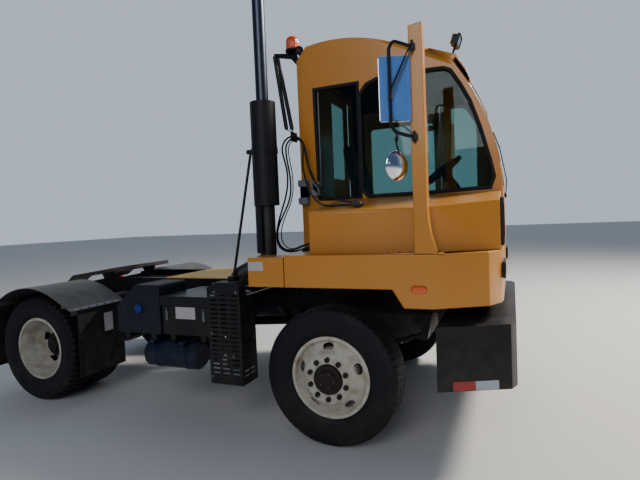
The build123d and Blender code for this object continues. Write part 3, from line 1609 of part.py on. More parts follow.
with BuildPart() as cab_shell:
    add(cab_box())
    add(roof_region(), mode=Mode.SUBTRACT)
    # right wall windows
    with BuildSketch(Plane.XZ.offset(-(cab_right_y + cab_wall + 1))):
        add(rear_window())
        add(front_window(front_axle_x + 56))
    extrude(amount=cab_wall + 2, mode=Mode.SUBTRACT)
    # left wall: door opening and quarter window
    with BuildSketch(Plane.XZ.offset(-(cab_left_y + 1))):
        add(quarter_window())
        with Locations(((door_rear_x + door_front_x) / 2, (door_bottom_z + door_top_z) / 2)):
            Rectangle(door_front_x - door_rear_x, door_top_z - door_bottom_z)
    extrude(amount=cab_wall + 2, mode=Mode.SUBTRACT)
    # rear wall: sliding door opening
    with BuildSketch(cross_plane(cab_rear_x - 1)):
        with Locations(((rear_door_low_y + rear_door_high_y) / 2, (door_bottom_z + rear_door_top_z) / 2)):
            Rectangle(rear_door_high_y - rear_door_low_y, rear_door_top_z - door_bottom_z)
    extrude(amount=cab_wall + 2, mode=Mode.SUBTRACT)
    # runners above and below the sliding door
    runner_low_y = rear_door_low_y - 12 - rear_door_travel - 10
    runner_high_y = rear_door_high_y + 12 + 10
    for runner_z, height, lip in (
        (deck_top_z, door_bottom_z - 10 - seat_gap - deck_top_z, 12),
        (rear_door_top_z + 10 + seat_gap, 9, -12),
    ):
        with BuildSketch(side_plane(runner_high_y)):
            with Locations((cab_rear_x - 21, runner_z + height / 2)):
                Rectangle(42, height)
            with Locations((cab_rear_x - 39, runner_z + height / 2 + lip / 2)):
                Rectangle(6, height + abs(lip))
        extrude(amount=runner_high_y - runner_low_y)
    # left door's hinges: rings and pins on the pillar
    for hinge_z in door_hinge_heights:
        for ring_z in (hinge_z - 60, hinge_z + 30 + seat_gap):
            with BuildSketch(level(ring_z)):
                with Locations((door_hinge_x, door_hinge_y)):
                    Circle(door_ring_radius)
                with Locations((door_hinge_x + 35, cab_left_y + 3)):
                    Rectangle(70, 6)
            extrude(amount=30 - seat_gap)
        with BuildSketch(level(hinge_z - 60)):
            with Locations((door_hinge_x, door_hinge_y)):
                Circle(door_pin_radius)
        extrude(amount=120)
    # windscreen opening
    with BuildSketch(cross_plane(front_axle_x + 700)):
        with Locations(((screen_low_y + screen_high_y) / 2, (screen_bottom_z + screen_top_z) / 2)):
            Rectangle(screen_high_y - screen_low_y, screen_top_z - screen_bottom_z)
    extrude(amount=600, mode=Mode.SUBTRACT)
write(cab_shell, "cab_shell")

# Cab roof: the cap, with the brow over the windscreen
with BuildPart() as cab_roof:
    add(cab_box())
    add(roof_region(), mode=Mode.INTERSECT)
    with BuildSketch(Plane.XZ.offset(-cab_left_y)):
        with BuildLine():
            Polyline(
                (front_axle_x + 655, 2988),
                (front_axle_x + 859, 2906),
                (front_axle_x + 931, 2786),
                (front_axle_x + 958, 2689),
                (front_axle_x + 951, 2686),
                (front_axle_x + 920, 2776),
                (front_axle_x + 850, 2888),
                (front_axle_x + 832, 2862),
                close=True,
            )
        make_face()
    extrude(amount=cab_left_y - cab_right_y)
    add(cab_shell.part, mode=Mode.SUBTRACT)
write(cab_roof, "cab_roof")

# Cab floor: a plate with a front sill, and the two ears that hinge on the frame
ear_inner_y = pivot_plate_y + pivot_plate / 2 + 5.3
ear_thickness_cab = 17.7
tilt_eye_x = front_axle_x + 450
tilt_eye_z = 1310
skirt_plate = 6
with BuildPart() as cab_floor:
    with BuildSketch(level(floor_bottom_z)):
        with Locations(((cab_rear_x + 10 + front_axle_x + 1160) / 2, (cab_left_y - 8 + cab_right_y) / 2)):
            Rectangle(front_axle_x + 1160 - cab_rear_x - 10, cab_left_y - 8 - cab_right_y)
    extrude(amount=deck_top_z - floor_bottom_z)
    with BuildSketch(level(floor_bottom_z - 1)):
        with BuildLine():
            Polyline(
                (front_axle_x + 900, cab_left_y),
                (front_axle_x + 1162, 835),
                (front_axle_x + 1162, cab_left_y),
                close=True,
            )
        make_face()
    extrude(amount=deck_top_z + 2 - floor_bottom_z, mode=Mode.SUBTRACT)
    with BuildSketch(level(floor_bottom_z)):
        with Locations((front_axle_x + 1075, 0)):
            Rectangle(170, 2 * (ear_inner_y + ear_thickness_cab))
        with Locations((rest_post_x, -rest_post_y)):
            Rectangle(70, 80)
    extrude(amount=deck_top_z - skirt_plate - seat_gap - floor_bottom_z)
    for side in (-1, 1):
        near_y = max(side * ear_inner_y, side * (ear_inner_y + ear_thickness_cab))
        with BuildSketch(side_plane(near_y)):
            with BuildLine():
                Polyline(
                    (front_axle_x + 1000, floor_bottom_z),
                    (front_axle_x + 1150, floor_bottom_z),
                    (cab_pivot_x + 38, cab_pivot_z),
                    (cab_pivot_x + 20, cab_pivot_z - 34),
                    (cab_pivot_x - 20, cab_pivot_z - 34),
                    (cab_pivot_x - 38, cab_pivot_z),
                    close=True,
                )
            make_face()
        extrude(amount=ear_thickness_cab)
        with BuildSketch(side_plane(side * (ear_inner_y + ear_thickness_cab))):
            with Locations((cab_pivot_x, cab_pivot_z)):
                Circle(cab_pivot_radius - 0.1)
        extrude(amount=side * (ear_thickness_cab + 52))
    # lugs for the tilt cylinder's rod eye
    for lug_y in (tilt_y - 40, tilt_y + 40):
        with BuildSketch(side_plane(lug_y + 6)):
            with BuildLine():
                Polyline(
                    (tilt_eye_x - 50, floor_bottom_z),
                    (tilt_eye_x + 50, floor_bottom_z),
                    (tilt_eye_x + 28, tilt_eye_z - 20),
                    (tilt_eye_x - 28, tilt_eye_z - 20),
                    close=True,
                )
            make_face()
        extrude(amount=12)
write(cab_floor, "cab_floor")

# Deck skirt: the yellow band round the front, with its ledge; it tilts with the cab
skirt_front_x = front_axle_x + 1175
skirt_low_z = 1045
hood_side_y = -(deck_half_width - 125)
hood_rear_x = front_axle_x - 152
hood_corner = (front_axle_x + 745, front_axle_x + 1165, hood_side_y + 200)
hood_lap = 8


def skirt_plan(inset):
    """Plan outline of the deck skirt, moved inwards by inset."""
    with BuildSketch(Plane.XY) as section:
        with BuildLine():
            Polyline(
                (cab_seam_x + inset, -deck_half_width + inset),
                (front_axle_x + 760 - inset / 2, -deck_half_width + inset),
                (front_axle_x + 1094 - inset, -1030 + inset / 2),
                (front_axle_x + 1160 - inset, -900 + inset / 2),
                (skirt_front_x - inset, -800),
                (skirt_front_x - inset, 800),
                (front_axle_x + 1160 - inset, 900 - inset / 2),
                (front_axle_x + 1094 - inset, 1030 - inset / 2),
                (front_axle_x + 760 - inset / 2, deck_half_width - inset),
                (cab_rear_x + inset, deck_half_width - inset),
                (cab_rear_x + inset, cab_right_y + 10),
                (cab_seam_x + inset, cab_right_y + 10),
                close=True,
            )
        make_face()
    return section.sketch


with BuildPart() as deck_skirt:
    with BuildSketch(level(skirt_low_z)):
        add(skirt_plan(0))
    extrude(amount=deck_top_z - skirt_low_z)
    with BuildSketch(level(skirt_low_z - 1)):
        add(skirt_plan(skirt_plate))
    extrude(amount=deck_top_z - skirt_plate - skirt_low_z + 1, mode=Mode.SUBTRACT)
    # open under the hood and under the cab
    with BuildSketch(level(deck_top_z - skirt_plate - 1)):
        opening_rear = (hood_rear_x + hood_lap, hood_side_y + hood_lap)
        opening_front = (hood_corner[0] - 15, cab_right_y)
        with Locations([((opening_rear[0] + opening_front[0]) / 2, (opening_rear[1] + opening_front[1]) / 2)]):
            Rectangle(opening_front[0] - opening_rear[0], opening_front[1] - opening_rear[1])
        with BuildLine():
            Polyline(
                (hood_corner[0] - 16, hood_side_y + hood_lap),
                (hood_corner[1] - 13, hood_corner[2] + hood_lap),
                (hood_corner[1] - 13, cab_right_y),
                (hood_corner[0] - 16, cab_right_y),
                close=True,
            )
        make_face()
        with Locations(((cab_rear_x - 10 + front_axle_x + 1164) / 2, (cab_right_y - 4 + cab_left_y - 4) / 2)):
            Rectangle(front_axle_x + 1164 - cab_rear_x + 10, cab_left_y - cab_right_y)
    extrude(amount=skirt_plate + 2, mode=Mode.SUBTRACT)
    # no panel across the back
    with BuildSketch(level(skirt_low_z - 1)):
        with Locations(((cab_rear_x + cab_seam_x) / 2, (-410 + cab_left_y) / 2)):
            Rectangle(cab_seam_x - cab_rear_x + 100, cab_left_y + 410)
        with Locations((cab_seam_x, -755)):
            Rectangle(30, 830)
    extrude(amount=deck_top_z - skirt_plate - skirt_low_z + 1, mode=Mode.SUBTRACT)
    # lower edge raised over the front wheels
    with BuildSketch(Plane.XZ.offset(-deck_half_width - 10)):
        with BuildLine():
            Polyline(
                (cab_rear_x - 10, skirt_low_z - 10),
                (cab_rear_x - 10, deck_edge_bottom_z),
                (front_axle_x + 497, deck_edge_bottom_z),
                (front_axle_x + 572, skirt_low_z),
                (front_axle_x + 572, skirt_low_z - 10),
                close=True,
            )
        make_face()
    extrude(amount=2 * deck_half_width + 20, mode=Mode.SUBTRACT)
write(deck_skirt, "deck_skirt")

# Hood: a hollow engine cover beside the cab, its top rising towards the cab wall
hood_front_x = front_axle_x + 1165
hood_low_top_z = 1708
hood_high_top_z = 1820
hood_plate = 6
hood_edge_radius = 22
radiator_y = (hood_corner[2] + cab_right_y) / 2
radiator_z = 1590
radiator_width = cab_right_y - hood_corner[2] - 110
radiator_height = 260
with BuildPart() as hood:
    with BuildSketch(cross_plane(hood_rear_x)):
        with BuildLine():
            Polyline(
                (hood_side_y, deck_top_z),
                (hood_side_y, hood_low_top_z),
                (cab_right_y, hood_high_top_z),
                (cab_right_y, deck_top_z),
                close=True,
            )
        make_face()
    extrude(amount=hood_front_x - hood_rear_x)
    rear_corner = hood.edges().filter_by(Axis.Z).group_by(Axis.X)[0].sort_by(Axis.Y)[0]
    side_edge = hood.edges().filter_by(Axis.X).group_by(Axis.Y)[0].sort_by(Axis.Z)[-1]
    fillet([rear_corner, side_edge], radius=hood_edge_radius)
    with BuildSketch(level(deck_top_z - 1)):
        with BuildLine():
            Polyline(
                (hood_corner[0], hood_side_y),
                (hood_corner[1], hood_corner[2]),
                (hood_corner[1] + 10, hood_side_y - 10),
                (hood_corner[0], hood_side_y - 10),
                close=True,
            )
        make_face()
    extrude(amount=600, mode=Mode.SUBTRACT)
    with BuildSketch(cross_plane(hood_rear_x + hood_plate)):
        with BuildLine():
            Polyline(
                (hood_side_y + hood_plate, deck_top_z - 1),
                (hood_side_y + hood_plate, hood_low_top_z - hood_plate),
                (cab_right_y + 1, hood_high_top_z - hood_plate),
                (cab_right_y + 1, deck_top_z - 1),
                close=True,
            )
        make_face()
    extrude(amount=hood_corner[0] - 4 - hood_rear_x - hood_plate, mode=Mode.SUBTRACT)
    with BuildSketch(cross_plane(hood_corner[0] - 5)):
        with BuildLine():
            Polyline(
                (hood_corner[2] + hood_plate, deck_top_z - 1),
                (hood_corner[2] + hood_plate, hood_low_top_z + 29 - hood_plate),
                (cab_right_y + 1, hood_high_top_z - hood_plate),
                (cab_right_y + 1, deck_top_z - 1),
                close=True,
            )
        make_face()
    extrude(amount=hood_front_x - hood_plate - hood_corner[0] + 5, mode=Mode.SUBTRACT)
    # radiator opening in the front panel
    with BuildSketch(cross_plane(hood_front_x - hood_plate - 1)):
        with Locations((radiator_y, radiator_z)):
            Rectangle(radiator_width, radiator_height)
    extrude(amount=hood_plate + 2, mode=Mode.SUBTRACT)
write(hood, "hood")

# Grille: a rounded frame with cross bars over the hood's front opening
grille_depth = 22
grille_bar_pitch = 36
with BuildPart() as grille:
    with BuildSketch(cross_plane(hood_front_x)):
        with Locations((radiator_y, radiator_z)):
            RectangleRounded(radiator_width + 60, radiator_height + 70, 45)
            RectangleRounded(radiator_width - 10, radiator_height - 8, 25, mode=Mode.SUBTRACT)
    extrude(amount=grille_depth)
    with BuildSketch(cross_plane(hood_front_x + 4)):
        with Locations((radiator_y, radiator_z)):
            with GridLocations(0, grille_bar_pitch, 1, 6):
                Rectangle(radiator_width - 4, 9)
    extrude(amount=10)
write(grille, "grille")

# Lamps on the cab body: headlamps, rear work lamp, roof work light, beacon, side marker
beacon_x = front_axle_x - 604
beacon_y = -250
bracket_z = 3232
with BuildPart() as lamps:
    for lamp_y in (-800, -620, 620, 800):
        with BuildSketch(cross_plane(skirt_front_x)):
            with Locations((lamp_y, 1260)):
                RectangleRounded(150, 110, 12)
        extrude(amount=16)
    with BuildSketch(side_plane(-deck_half_width)):
        with Locations((front_axle_x + 674, 1171)):
            SlotOverall(104, 50)
    extrude(amount=14)
    # work light on its stalk at the roof's front edge
    with BuildSketch(Plane(origin=(front_axle_x + 812, -200, 3075), z_dir=(1, 0, -0.35))):
        RectangleRounded(100, 96, 14)
    extrude(amount=70)
    with BuildSketch(side_plane(-193)):
        with BuildLine():
            Polyline(
                (front_axle_x + 790, 2934),
                (front_axle_x + 825, 2920),
                (front_axle_x + 838, 3050),
                (front_axle_x + 815, 3050),
                close=True,
            )
        make_face()
    extrude(amount=14)
write(lamps, "lamps")

# Beacon: an amber dome on a pedestal, standing on the hose hanger's bracket
with BuildPart() as beacon:
    with BuildSketch(level(bracket_z - 22)):
        with Locations((beacon_x, beacon_y)):
            Circle(70)
    extrude(amount=22)
    with BuildSketch(level(bracket_z)):
        with Locations((beacon_x, beacon_y)):
            Circle(64)
    extrude(amount=118)
    chamfer(beacon.faces().sort_by(Axis.Z)[-1].edges(), length=26)
write(beacon, "beacon")

# Hoses from the cab's side wall, over the hanger's clamp and down to the hood and a holder.
# Points are X from the front axle, Y, Z; straight runs are joined by tangent arcs.
near_points = [
    (-340, -392, 1452), (-340, -441, 1452), (-364, -492, 1438), (-420, -532, 1412), (-490, -554, 1388),
    (-568, -563, 1378), (-642, -567, 1398), (-685, -569, 1455), (-689, -569, 1545), (-665, -568, 1650),
    (-626, -564, 1755), (-588, -558, 1860), (-567, -552, 1965), (-568, -545, 2065), (-590, -530, 2150),
    (-614, -520, 2220), (-628, -516, 2284), (-608, -516, 2347), (-554, -516, 2388), (-486, -516, 2388),
    (-431, -516, 2348), (-406, -512, 2285), (-400, -496, 2190), (-394, -474, 2095), (-366, -454, 2003),
    (-312, -446, 1932), (-245, -456, 1874), (-172, -492, 1836), (-102, -552, 1812), (-32, -628, 1797),
    (25, -700, 1788), (72, -768, 1780.5), (120, -830, 1771),
]
far_points = [
    (-410, -392, 1446), (-410, -441, 1446), (-434, -482, 1438), (-476, -506, 1420), (-530, -512, 1400),
    (-596, -512, 1388), (-660, -513, 1404), (-706, -514, 1460), (-712, -515, 1545), (-684, -515, 1635),
    (-636, -515, 1718),
    (-588, -515, 1800), (-560, -514, 1890), (-557, -510, 1985), (-570, -502, 2080), (-590, -492, 2170),
    (-606, -484, 2256), (-603, -480, 2329), (-554, -480, 2376), (-486, -480, 2376), (-437, -480, 2329),
    (-436, -480, 2256), (-446, -488, 2176), (-430, -515, 2085), (-392, -562, 2005), (-345, -625, 1930),
    (-290, -690, 1866), (-225, -765, 1815), (-155, -835, 1778), (-85, -890, 1756), (-10, -926, 1751),
    (70, -946, 1753), (150, -958, 1751.2),
]
signal_points = [
    (-465, -390, 1438), (-465, -421, 1438), (-480, -447, 1434), (-508, -460, 1425), (-548, -463, 1408),
    (-596, -462, 1397), (-652, -458, 1412), (-698, -456, 1468), (-704, -456, 1555), (-678, -456, 1642),
    (-634, -456, 1728),
    (-590, -455, 1815), (-566, -453, 1910), (-562, -452, 2005), (-570, -451, 2100), (-588, -450, 2190),
    (-598, -450, 2272), (-590, -450, 2330), (-552, -450, 2366), (-488, -450, 2366), (-450, -447, 2330),
    (-444, -438, 2262), (-436, -430, 2190), (-418, -422, 2118), (-388, -411, 2058), (-372, -408, 2018),
    (-372, -408, 1990),
]
air_hose_radius = 8
signal_hose_radius = 5
hoses = [
    ("hose_near", air_hose_radius, near_points),
    ("hose_far", air_hose_radius, far_points),
    ("hose_signal", signal_hose_radius, signal_points),
]


def bend_radii(spine):
    """Largest fair radius at each corner: the arc takes 0.45 of the shorter run beside it."""
    radii = []
    for before, corner, after in zip(spine, spine[1:], spine[2:]):
        arriving = corner - before
        leaving = after - corner
        half_turn = radians(arriving.get_angle(leaving)) / 2
        radii.append(0.45 * min(arriving.length, leaving.length) / tan(half_turn))
    return radii


for hose_name, hose_radius, points in hoses:
    spine = [Vector(front_axle_x + x, y, z) for x, y, z in points]
    radii = bend_radii(spine)
    with BuildPart() as hose:
        with BuildLine():
            route = FilletPolyline(*spine, radius=radii)
        with BuildSketch(Plane(origin=spine[0], z_dir=spine[1] - spine[0])):
            Circle(hose_radius)
        sweep(path=route)
    volume_share = hose.part.volume / (pi * hose_radius**2 * route.length)
    print(hose_name, f"length {route.length:.0f}", f"volume share {volume_share:.4f}", [round(r) for r in radii])
    write(hose, hose_name)

# Couplers on the ends of the two air hoses, lying on the hood
# columns: distance along the coupler, radius there
coupler_steps = [(0, 11), (24, 15), (24, 20), (78, 20), (84, 13), (100, 13)]
with BuildPart() as hose_couplers:
    for _, _, points in hoses[:2]:
        before = Vector(front_axle_x + points[-2][0], points[-2][1], points[-2][2])
        start = Vector(front_axle_x + points[-1][0], points[-1][1], points[-1][2])
        along = Plane(origin=start, x_dir=start - before, z_dir=(start - before).cross(Vector(0, 0, 1)))
        with BuildSketch(along):
            with BuildLine():
                Polyline((0, 0), *coupler_steps, (coupler_steps[-1][0], 0), close=True)
            make_face()
        revolve(axis=Axis(start, start - before))
write(hose_couplers, "hose_couplers")

# Hose fittings on the cab's side wall: a bulkhead union for each hose, and two holders
# columns: X from the front axle, lowest Z, height, width of the wall plate
holders = [(-487, 1790, 226, 96), (-362, 1862, 128, 78)]
with BuildPart() as hose_fittings:
    for _, hose_radius, points in hoses:
        with BuildSketch(side_plane(cab_right_y)):
            with Locations((front_axle_x + points[0][0], points[0][2])):
                RegularPolygon(hose_radius + 8, 6)
        extrude(amount=14)
        with BuildSketch(side_plane(cab_right_y)):
            with Locations((front_axle_x + points[0][0], points[0][2])):
                Circle(hose_radius + 4)
        extrude(amount=cab_right_y - points[0][1])
    for plate_x, plate_z, plate_height, plate_width in holders:
        with BuildSketch(side_plane(cab_right_y)):
            with Locations((front_axle_x + plate_x, plate_z + plate_height / 2)):
                RectangleRounded(plate_width, plate_height, 10)
        extrude(amount=12)
        for block_z in (plate_z + 34, plate_z + plate_height - 34):
            with BuildSketch(side_plane(cab_right_y - 12)):
                with Locations((front_axle_x + plate_x, block_z)):
                    RectangleRounded(plate_width - 8, 60, 12)
            extrude(amount=50)
write(hose_fittings, "hose_fittings")

# Hose hanger: bracket on the cab's rear corner, two springs and the clamp that holds the hoses
hanger_tip_x = front_axle_x - 801
clamp_x = front_axle_x - 520
clamp_y = -483
clamp_z = 2386
clamp_thickness = 6
clamp_corner = 14
# columns: the hose's radius, Y, Z of its hole
clamp_holes = [
    (air_hose_radius, -516, 2388), (air_hose_radius, -480, 2376), (signal_hose_radius, -450, 2366),
]
# columns: upper end of a spring, lower end of a spring
springs = [
    ((-790, -262, 3196), (-600, -462, 2470)),
    ((-770, -238, 3190), (-545, -462, 2460)),
]
with BuildPart() as hose_hanger:
    with BuildSketch(side_plane(beacon_y + 4)):
        with BuildLine():
            Polyline(
                (cab_rear_x, 3000),
                (cab_rear_x, 3078),
                (beacon_x + 30, bracket_z - 22),
                (beacon_x - 72, bracket_z - 22),
                (hanger_tip_x, 3229),
                (hanger_tip_x, 3192),
                (beacon_x - 20, 3150),
                (cab_rear_x - 8, 3040),
                (cab_rear_x - 8, 3000),
                close=True,
            )
        make_face()
    extrude(amount=8)
    with BuildSketch(cross_plane(cab_rear_x)):
        with Locations((beacon_y, 3038)):
            Rectangle(90, 76)
    extrude(amount=-8)
    with BuildSketch(level(bracket_z - 28)):
        with Locations((beacon_x, beacon_y)):
            Rectangle(90, 90)
    extrude(amount=6)
    for upper, lower in springs:
        start = Vector(front_axle_x + upper[0], upper[1], upper[2])
        end = Vector(front_axle_x + lower[0], lower[1], lower[2])
        with BuildSketch(Plane(origin=start, z_dir=end - start)):
            Circle(13)
        extrude(amount=(end - start).length)
        link_end = Vector(clamp_x, clamp_y, clamp_z + 30)
        with BuildSketch(Plane(origin=end, z_dir=link_end - end)):
            Circle(4)
        extrude(amount=(link_end - end).length)
    with BuildSketch(side_plane(beacon_y + 20)):
        with Locations((front_axle_x - 780, 3196)):
            Circle(16)
    extrude(amount=40)
    with BuildSketch(cross_plane(clamp_x - clamp_thickness / 2)):
        with Locations((clamp_y, clamp_z)):
            RectangleRounded(126, 84, clamp_corner)
        for hose_radius, hole_y, hole_z in clamp_holes:
            with Locations((hole_y, hole_z)):
                Circle(hose_radius + seat_gap, mode=Mode.SUBTRACT)
    extrude(amount=clamp_thickness)
write(hose_hanger, "hose_hanger")

# Cab glass: fixed panes set in the middle of the walls, and the windscreen
glass_thickness = 6
with BuildPart() as cab_glass:
    pane_y = cab_right_y + cab_wall / 2
    with BuildSketch(side_plane(pane_y + glass_thickness / 2)):
        add(rear_window())
        add(front_window(front_axle_x + 56))
    extrude(amount=glass_thickness)
    pane_y = cab_left_y - cab_wall / 2
    with BuildSketch(side_plane(pane_y + glass_thickness / 2)):
        add(quarter_window())
    extrude(amount=glass_thickness)
    with BuildSketch(Plane.XZ.offset(-screen_high_y)):
        with BuildLine():
            ThreePointArc((front_axle_x + 870, 2790), (front_axle_x + 1045, 2432), (front_axle_x + 1150, 1870))
            Line((front_axle_x + 1150, 1870), (front_axle_x + 1142, 1870))
            ThreePointArc((front_axle_x + 1142, 1870), (front_axle_x + 1037, 2432), (front_axle_x + 862, 2790))
            Line((front_axle_x + 862, 2790), (front_axle_x + 870, 2790))
        make_face()
    extrude(amount=screen_high_y - screen_low_y)
write(cab_glass, "cab_glass")

# Left door: a full-thickness panel hung at its front edge, with its own pane and handle
with BuildPart() as left_door:
    with BuildSketch(side_plane(cab_left_y)):
        with Locations(((door_rear_x + door_front_x) / 2, (door_bottom_z + door_top_z) / 2)):
            Rectangle(
                door_front_x - door_rear_x - 2 * door_gap,
                door_top_z - door_bottom_z - 2 * door_gap,
            )
        with Locations((front_axle_x + 100, 2240)):
            RectangleRounded(720, 860, 40, mode=Mode.SUBTRACT)
    extrude(amount=cab_wall)
    # hinge straps, each with a ring round the pillar's pin
    for hinge_z in door_hinge_heights:
        with BuildSketch(level(hinge_z - 30)):
            with Locations((door_hinge_x, door_hinge_y)):
                Circle(door_ring_radius)
            with Locations((door_hinge_x - 75, cab_left_y + 3)):
                Rectangle(140, 6)
            with Locations((door_hinge_x, door_hinge_y)):
                Circle(door_pin_radius + 0.05, mode=Mode.SUBTRACT)
        extrude(amount=60)
    with BuildSketch(side_plane(cab_left_y + 34)):
        with Locations((door_rear_x + 80, 1720)):
            Rectangle(30, 150)
            Rectangle(30, 110, mode=Mode.SUBTRACT)
    extrude(amount=10)
    for post_z in (1655, 1785):
        with BuildSketch(side_plane(cab_left_y + 34)):
            with Locations((door_rear_x + 80, post_z)):
                Rectangle(26, 18)
        extrude(amount=34)
    with BuildSketch(side_plane(cab_left_y - cab_wall / 2 + glass_thickness / 2)):
        with Locations((front_axle_x + 100, 2240)):
            RectangleRounded(720 - 2 * seat_gap, 860 - 2 * seat_gap, 40)
    extrude(amount=glass_thickness)
write(left_door, "left_door")

# Rear door: slides sideways on rails outside the cab's rear wall
rear_door_thickness = 30
rear_door_x = cab_rear_x - 5 - rear_door_thickness
with BuildPart() as rear_door:
    with BuildSketch(cross_plane(rear_door_x)):
        with Locations(((rear_door_low_y + rear_door_high_y) / 2, (door_bottom_z + rear_door_top_z) / 2)):
            Rectangle(rear_door_high_y - rear_door_low_y + 24, rear_door_top_z - door_bottom_z + 20)
        with Locations(((rear_door_low_y + rear_door_high_y) / 2, 2500)):
            RectangleRounded(430, 820, 40, mode=Mode.SUBTRACT)
    extrude(amount=rear_door_thickness)
    with BuildSketch(cross_plane(rear_door_x + rear_door_thickness / 2 - glass_thickness / 2)):
        with Locations(((rear_door_low_y + rear_door_high_y) / 2, 2500)):
            RectangleRounded(430 - 2 * seat_gap, 820 - 2 * seat_gap, 40)
    extrude(amount=glass_thickness)
    with BuildSketch(cross_plane(rear_door_x - 30)):
        with Locations((rear_door_low_y + 60, 2000)):
            Rectangle(16, 200)
            Rectangle(16, 160, mode=Mode.SUBTRACT)
    extrude(amount=8)
    for post_z in (1910, 2090):
        with BuildSketch(cross_plane(rear_door_x - 30)):
            with Locations((rear_door_low_y + 60, post_z)):
                Rectangle(16, 20)
        extrude(amount=30)
write(rear_door, "rear_door")

# Seat: suspension base, cushion and back
seat_y = 370
seat_x = front_axle_x + 60
with BuildPart() as seat:
    with BuildSketch(side_plane(seat_y + 250)):
        with BuildLine():
            Polyline(
                (seat_x - 260, 1729),
                (seat_x + 270, 1740),
                (seat_x + 280, 1830),
                (seat_x + 240, 1860),
                (seat_x - 150, 1850),
                (seat_x - 260, 2350),
                (seat_x - 300, 2400),
                (seat_x - 360, 2390),
                (seat_x - 370, 2330),
                close=True,
            )
        make_face()
    extrude(amount=500)
    fillet(seat.edges().filter_by(Axis.Y), radius=14)
    with BuildSketch(level(deck_top_z)):
        with Locations((seat_x, seat_y)):
            Rectangle(380, 360)
    extrude(amount=360)
write(seat, "seat")

# Driving controls: console, dashboard, column and wheel, pedals
wheel_x = front_axle_x + 640
wheel_z = 2060
with BuildPart() as driving_controls:
    with BuildSketch(side_plane(820)):
        with BuildLine():
            Polyline(
                (front_axle_x + 790, deck_top_z),
                (cab_front_x - cab_wall - 4, deck_top_z),
                (cab_front_x - cab_wall - 4, 1815),
                (front_axle_x + 1010, 1860),
                (front_axle_x + 850, 1830),
                (front_axle_x + 830, 1700),
                (front_axle_x + 960, 1640),
                close=True,
            )
        make_face()
    extrude(amount=1135)
    with BuildSketch(Plane(origin=(front_axle_x + 900, seat_y, 1700), z_dir=(wheel_x - front_axle_x - 900, 0, 360))):
        Circle(38)
    extrude(amount=hypot(wheel_x - front_axle_x - 900, wheel_z - 1700))
    wheel_plane = Plane(origin=(wheel_x, seat_y, wheel_z), z_dir=(wheel_x - front_axle_x - 900, 0, 360))
    with BuildSketch(wheel_plane):
        Circle(212)
        Circle(186, mode=Mode.SUBTRACT)
        Rectangle(390, 30)
        Circle(46)
    extrude(amount=22)
    # side console with the shift lever, left of the seat
    with BuildSketch(level(deck_top_z)):
        with Locations((seat_x + 120, seat_y - 420)):
            Rectangle(640, 240)
    extrude(amount=400)
write(driving_controls, "driving_controls")

# Mirror post: a tapering square post on the ledge beside the hood, with a gusset at its foot
post_outer_y = -(deck_half_width - 10)
post_inner_y = post_outer_y + 90
post_x = front_axle_x + 650
post_top_z = 2870
post_flare_z = 1720
post_foot = 140
with BuildPart() as mirror_post:
    with BuildSketch(side_plane(post_inner_y)):
        with BuildLine():
            Polyline(
                (post_x, deck_top_z),
                (post_x, post_top_z - 10),
                (post_x + 90, post_top_z),
                (post_x + 90, post_flare_z),
            )
            ThreePointArc(
                (post_x + 90, post_flare_z),
                (post_x + 102, 1565),
                (post_x + post_foot, deck_top_z + 30),
            )
            Polyline(
                (post_x + post_foot, deck_top_z + 30),
                (post_x + post_foot, deck_top_z),
                (post_x, deck_top_z),
            )
        make_face()
    extrude(amount=post_inner_y - post_outer_y)
write(mirror_post, "mirror_post")

# Mirrors: bent tube arms on the right post and on the left windscreen pillar, each with a
# flat head and a round one below it
tube_radius = 11
bend_lap = 5
# columns: X from the front axle, Y, Z of the arms' bends, from the top root to the lower one
arm_bends = [(572, -1292, 2748), (548, -1304, 2700), (548, -1304, 2230), (572, -1292, 2180)]
head_x = front_axle_x + 573
head_half_width = 100
head_half_height = 205
head_normal = (0.386, -0.92)
round_mirror_radius = 100
# columns: side, X and Y of the arm's roots, Y of the surface they stand on
arm_roots = [(1, 678, post_outer_y - 15, post_outer_y), (-1, 590, -cab_left_y - 15, -cab_left_y)]


def mirror_plane(side, x, y, z):
    """Plane facing the way the mirror heads are turned; side is 1 for the right-hand arm."""
    return Plane(
        origin=(x, side * y, z),
        x_dir=(-head_normal[1], side * head_normal[0], 0),
        z_dir=(head_normal[0], side * head_normal[1], 0),
    )


with BuildPart() as mirrors:
    for side, root_x, root_y, surface_y in arm_roots:
        points = [(root_x, root_y, 2718), *arm_bends, (root_x, root_y, 2150)]
        for start, end in zip(points, points[1:]):
            a = Vector(front_axle_x + start[0], side * start[1], start[2])
            b = Vector(front_axle_x + end[0], side * end[1], end[2])
            with BuildSketch(Plane(origin=a, z_dir=b - a).offset(-bend_lap)):
                Circle(tube_radius)
            extrude(amount=(b - a).length + 2 * bend_lap)
        # foot pads
        for root_z in (2718, 2150):
            with BuildSketch(side_plane(side * surface_y)):
                with Locations((front_axle_x + root_x, root_z)):
                    Rectangle(36, 44)
            extrude(amount=side * 18)
        # flat head, clamped to the upright tube
        with BuildSketch(mirror_plane(side, head_x, -1268, 2458)):
            RectangleRounded(2 * head_half_width, 2 * head_half_height, 14)
        extrude(amount=-20)
        for clamp_height in (2330, 2600):
            with BuildSketch(mirror_plane(side, head_x - 35, -1272, clamp_height)):
                Circle(9)
            extrude(amount=30)
        # round head on its stem
        with BuildSketch(mirror_plane(side, head_x + 15, -1280, 1978)):
            Circle(round_mirror_radius)
        extrude(amount=-30)
        with BuildSketch(level(2050)):
            with Locations((head_x + 4, side * -1286)):
                Circle(7)
        extrude(amount=140)
write(mirrors, "mirrors")

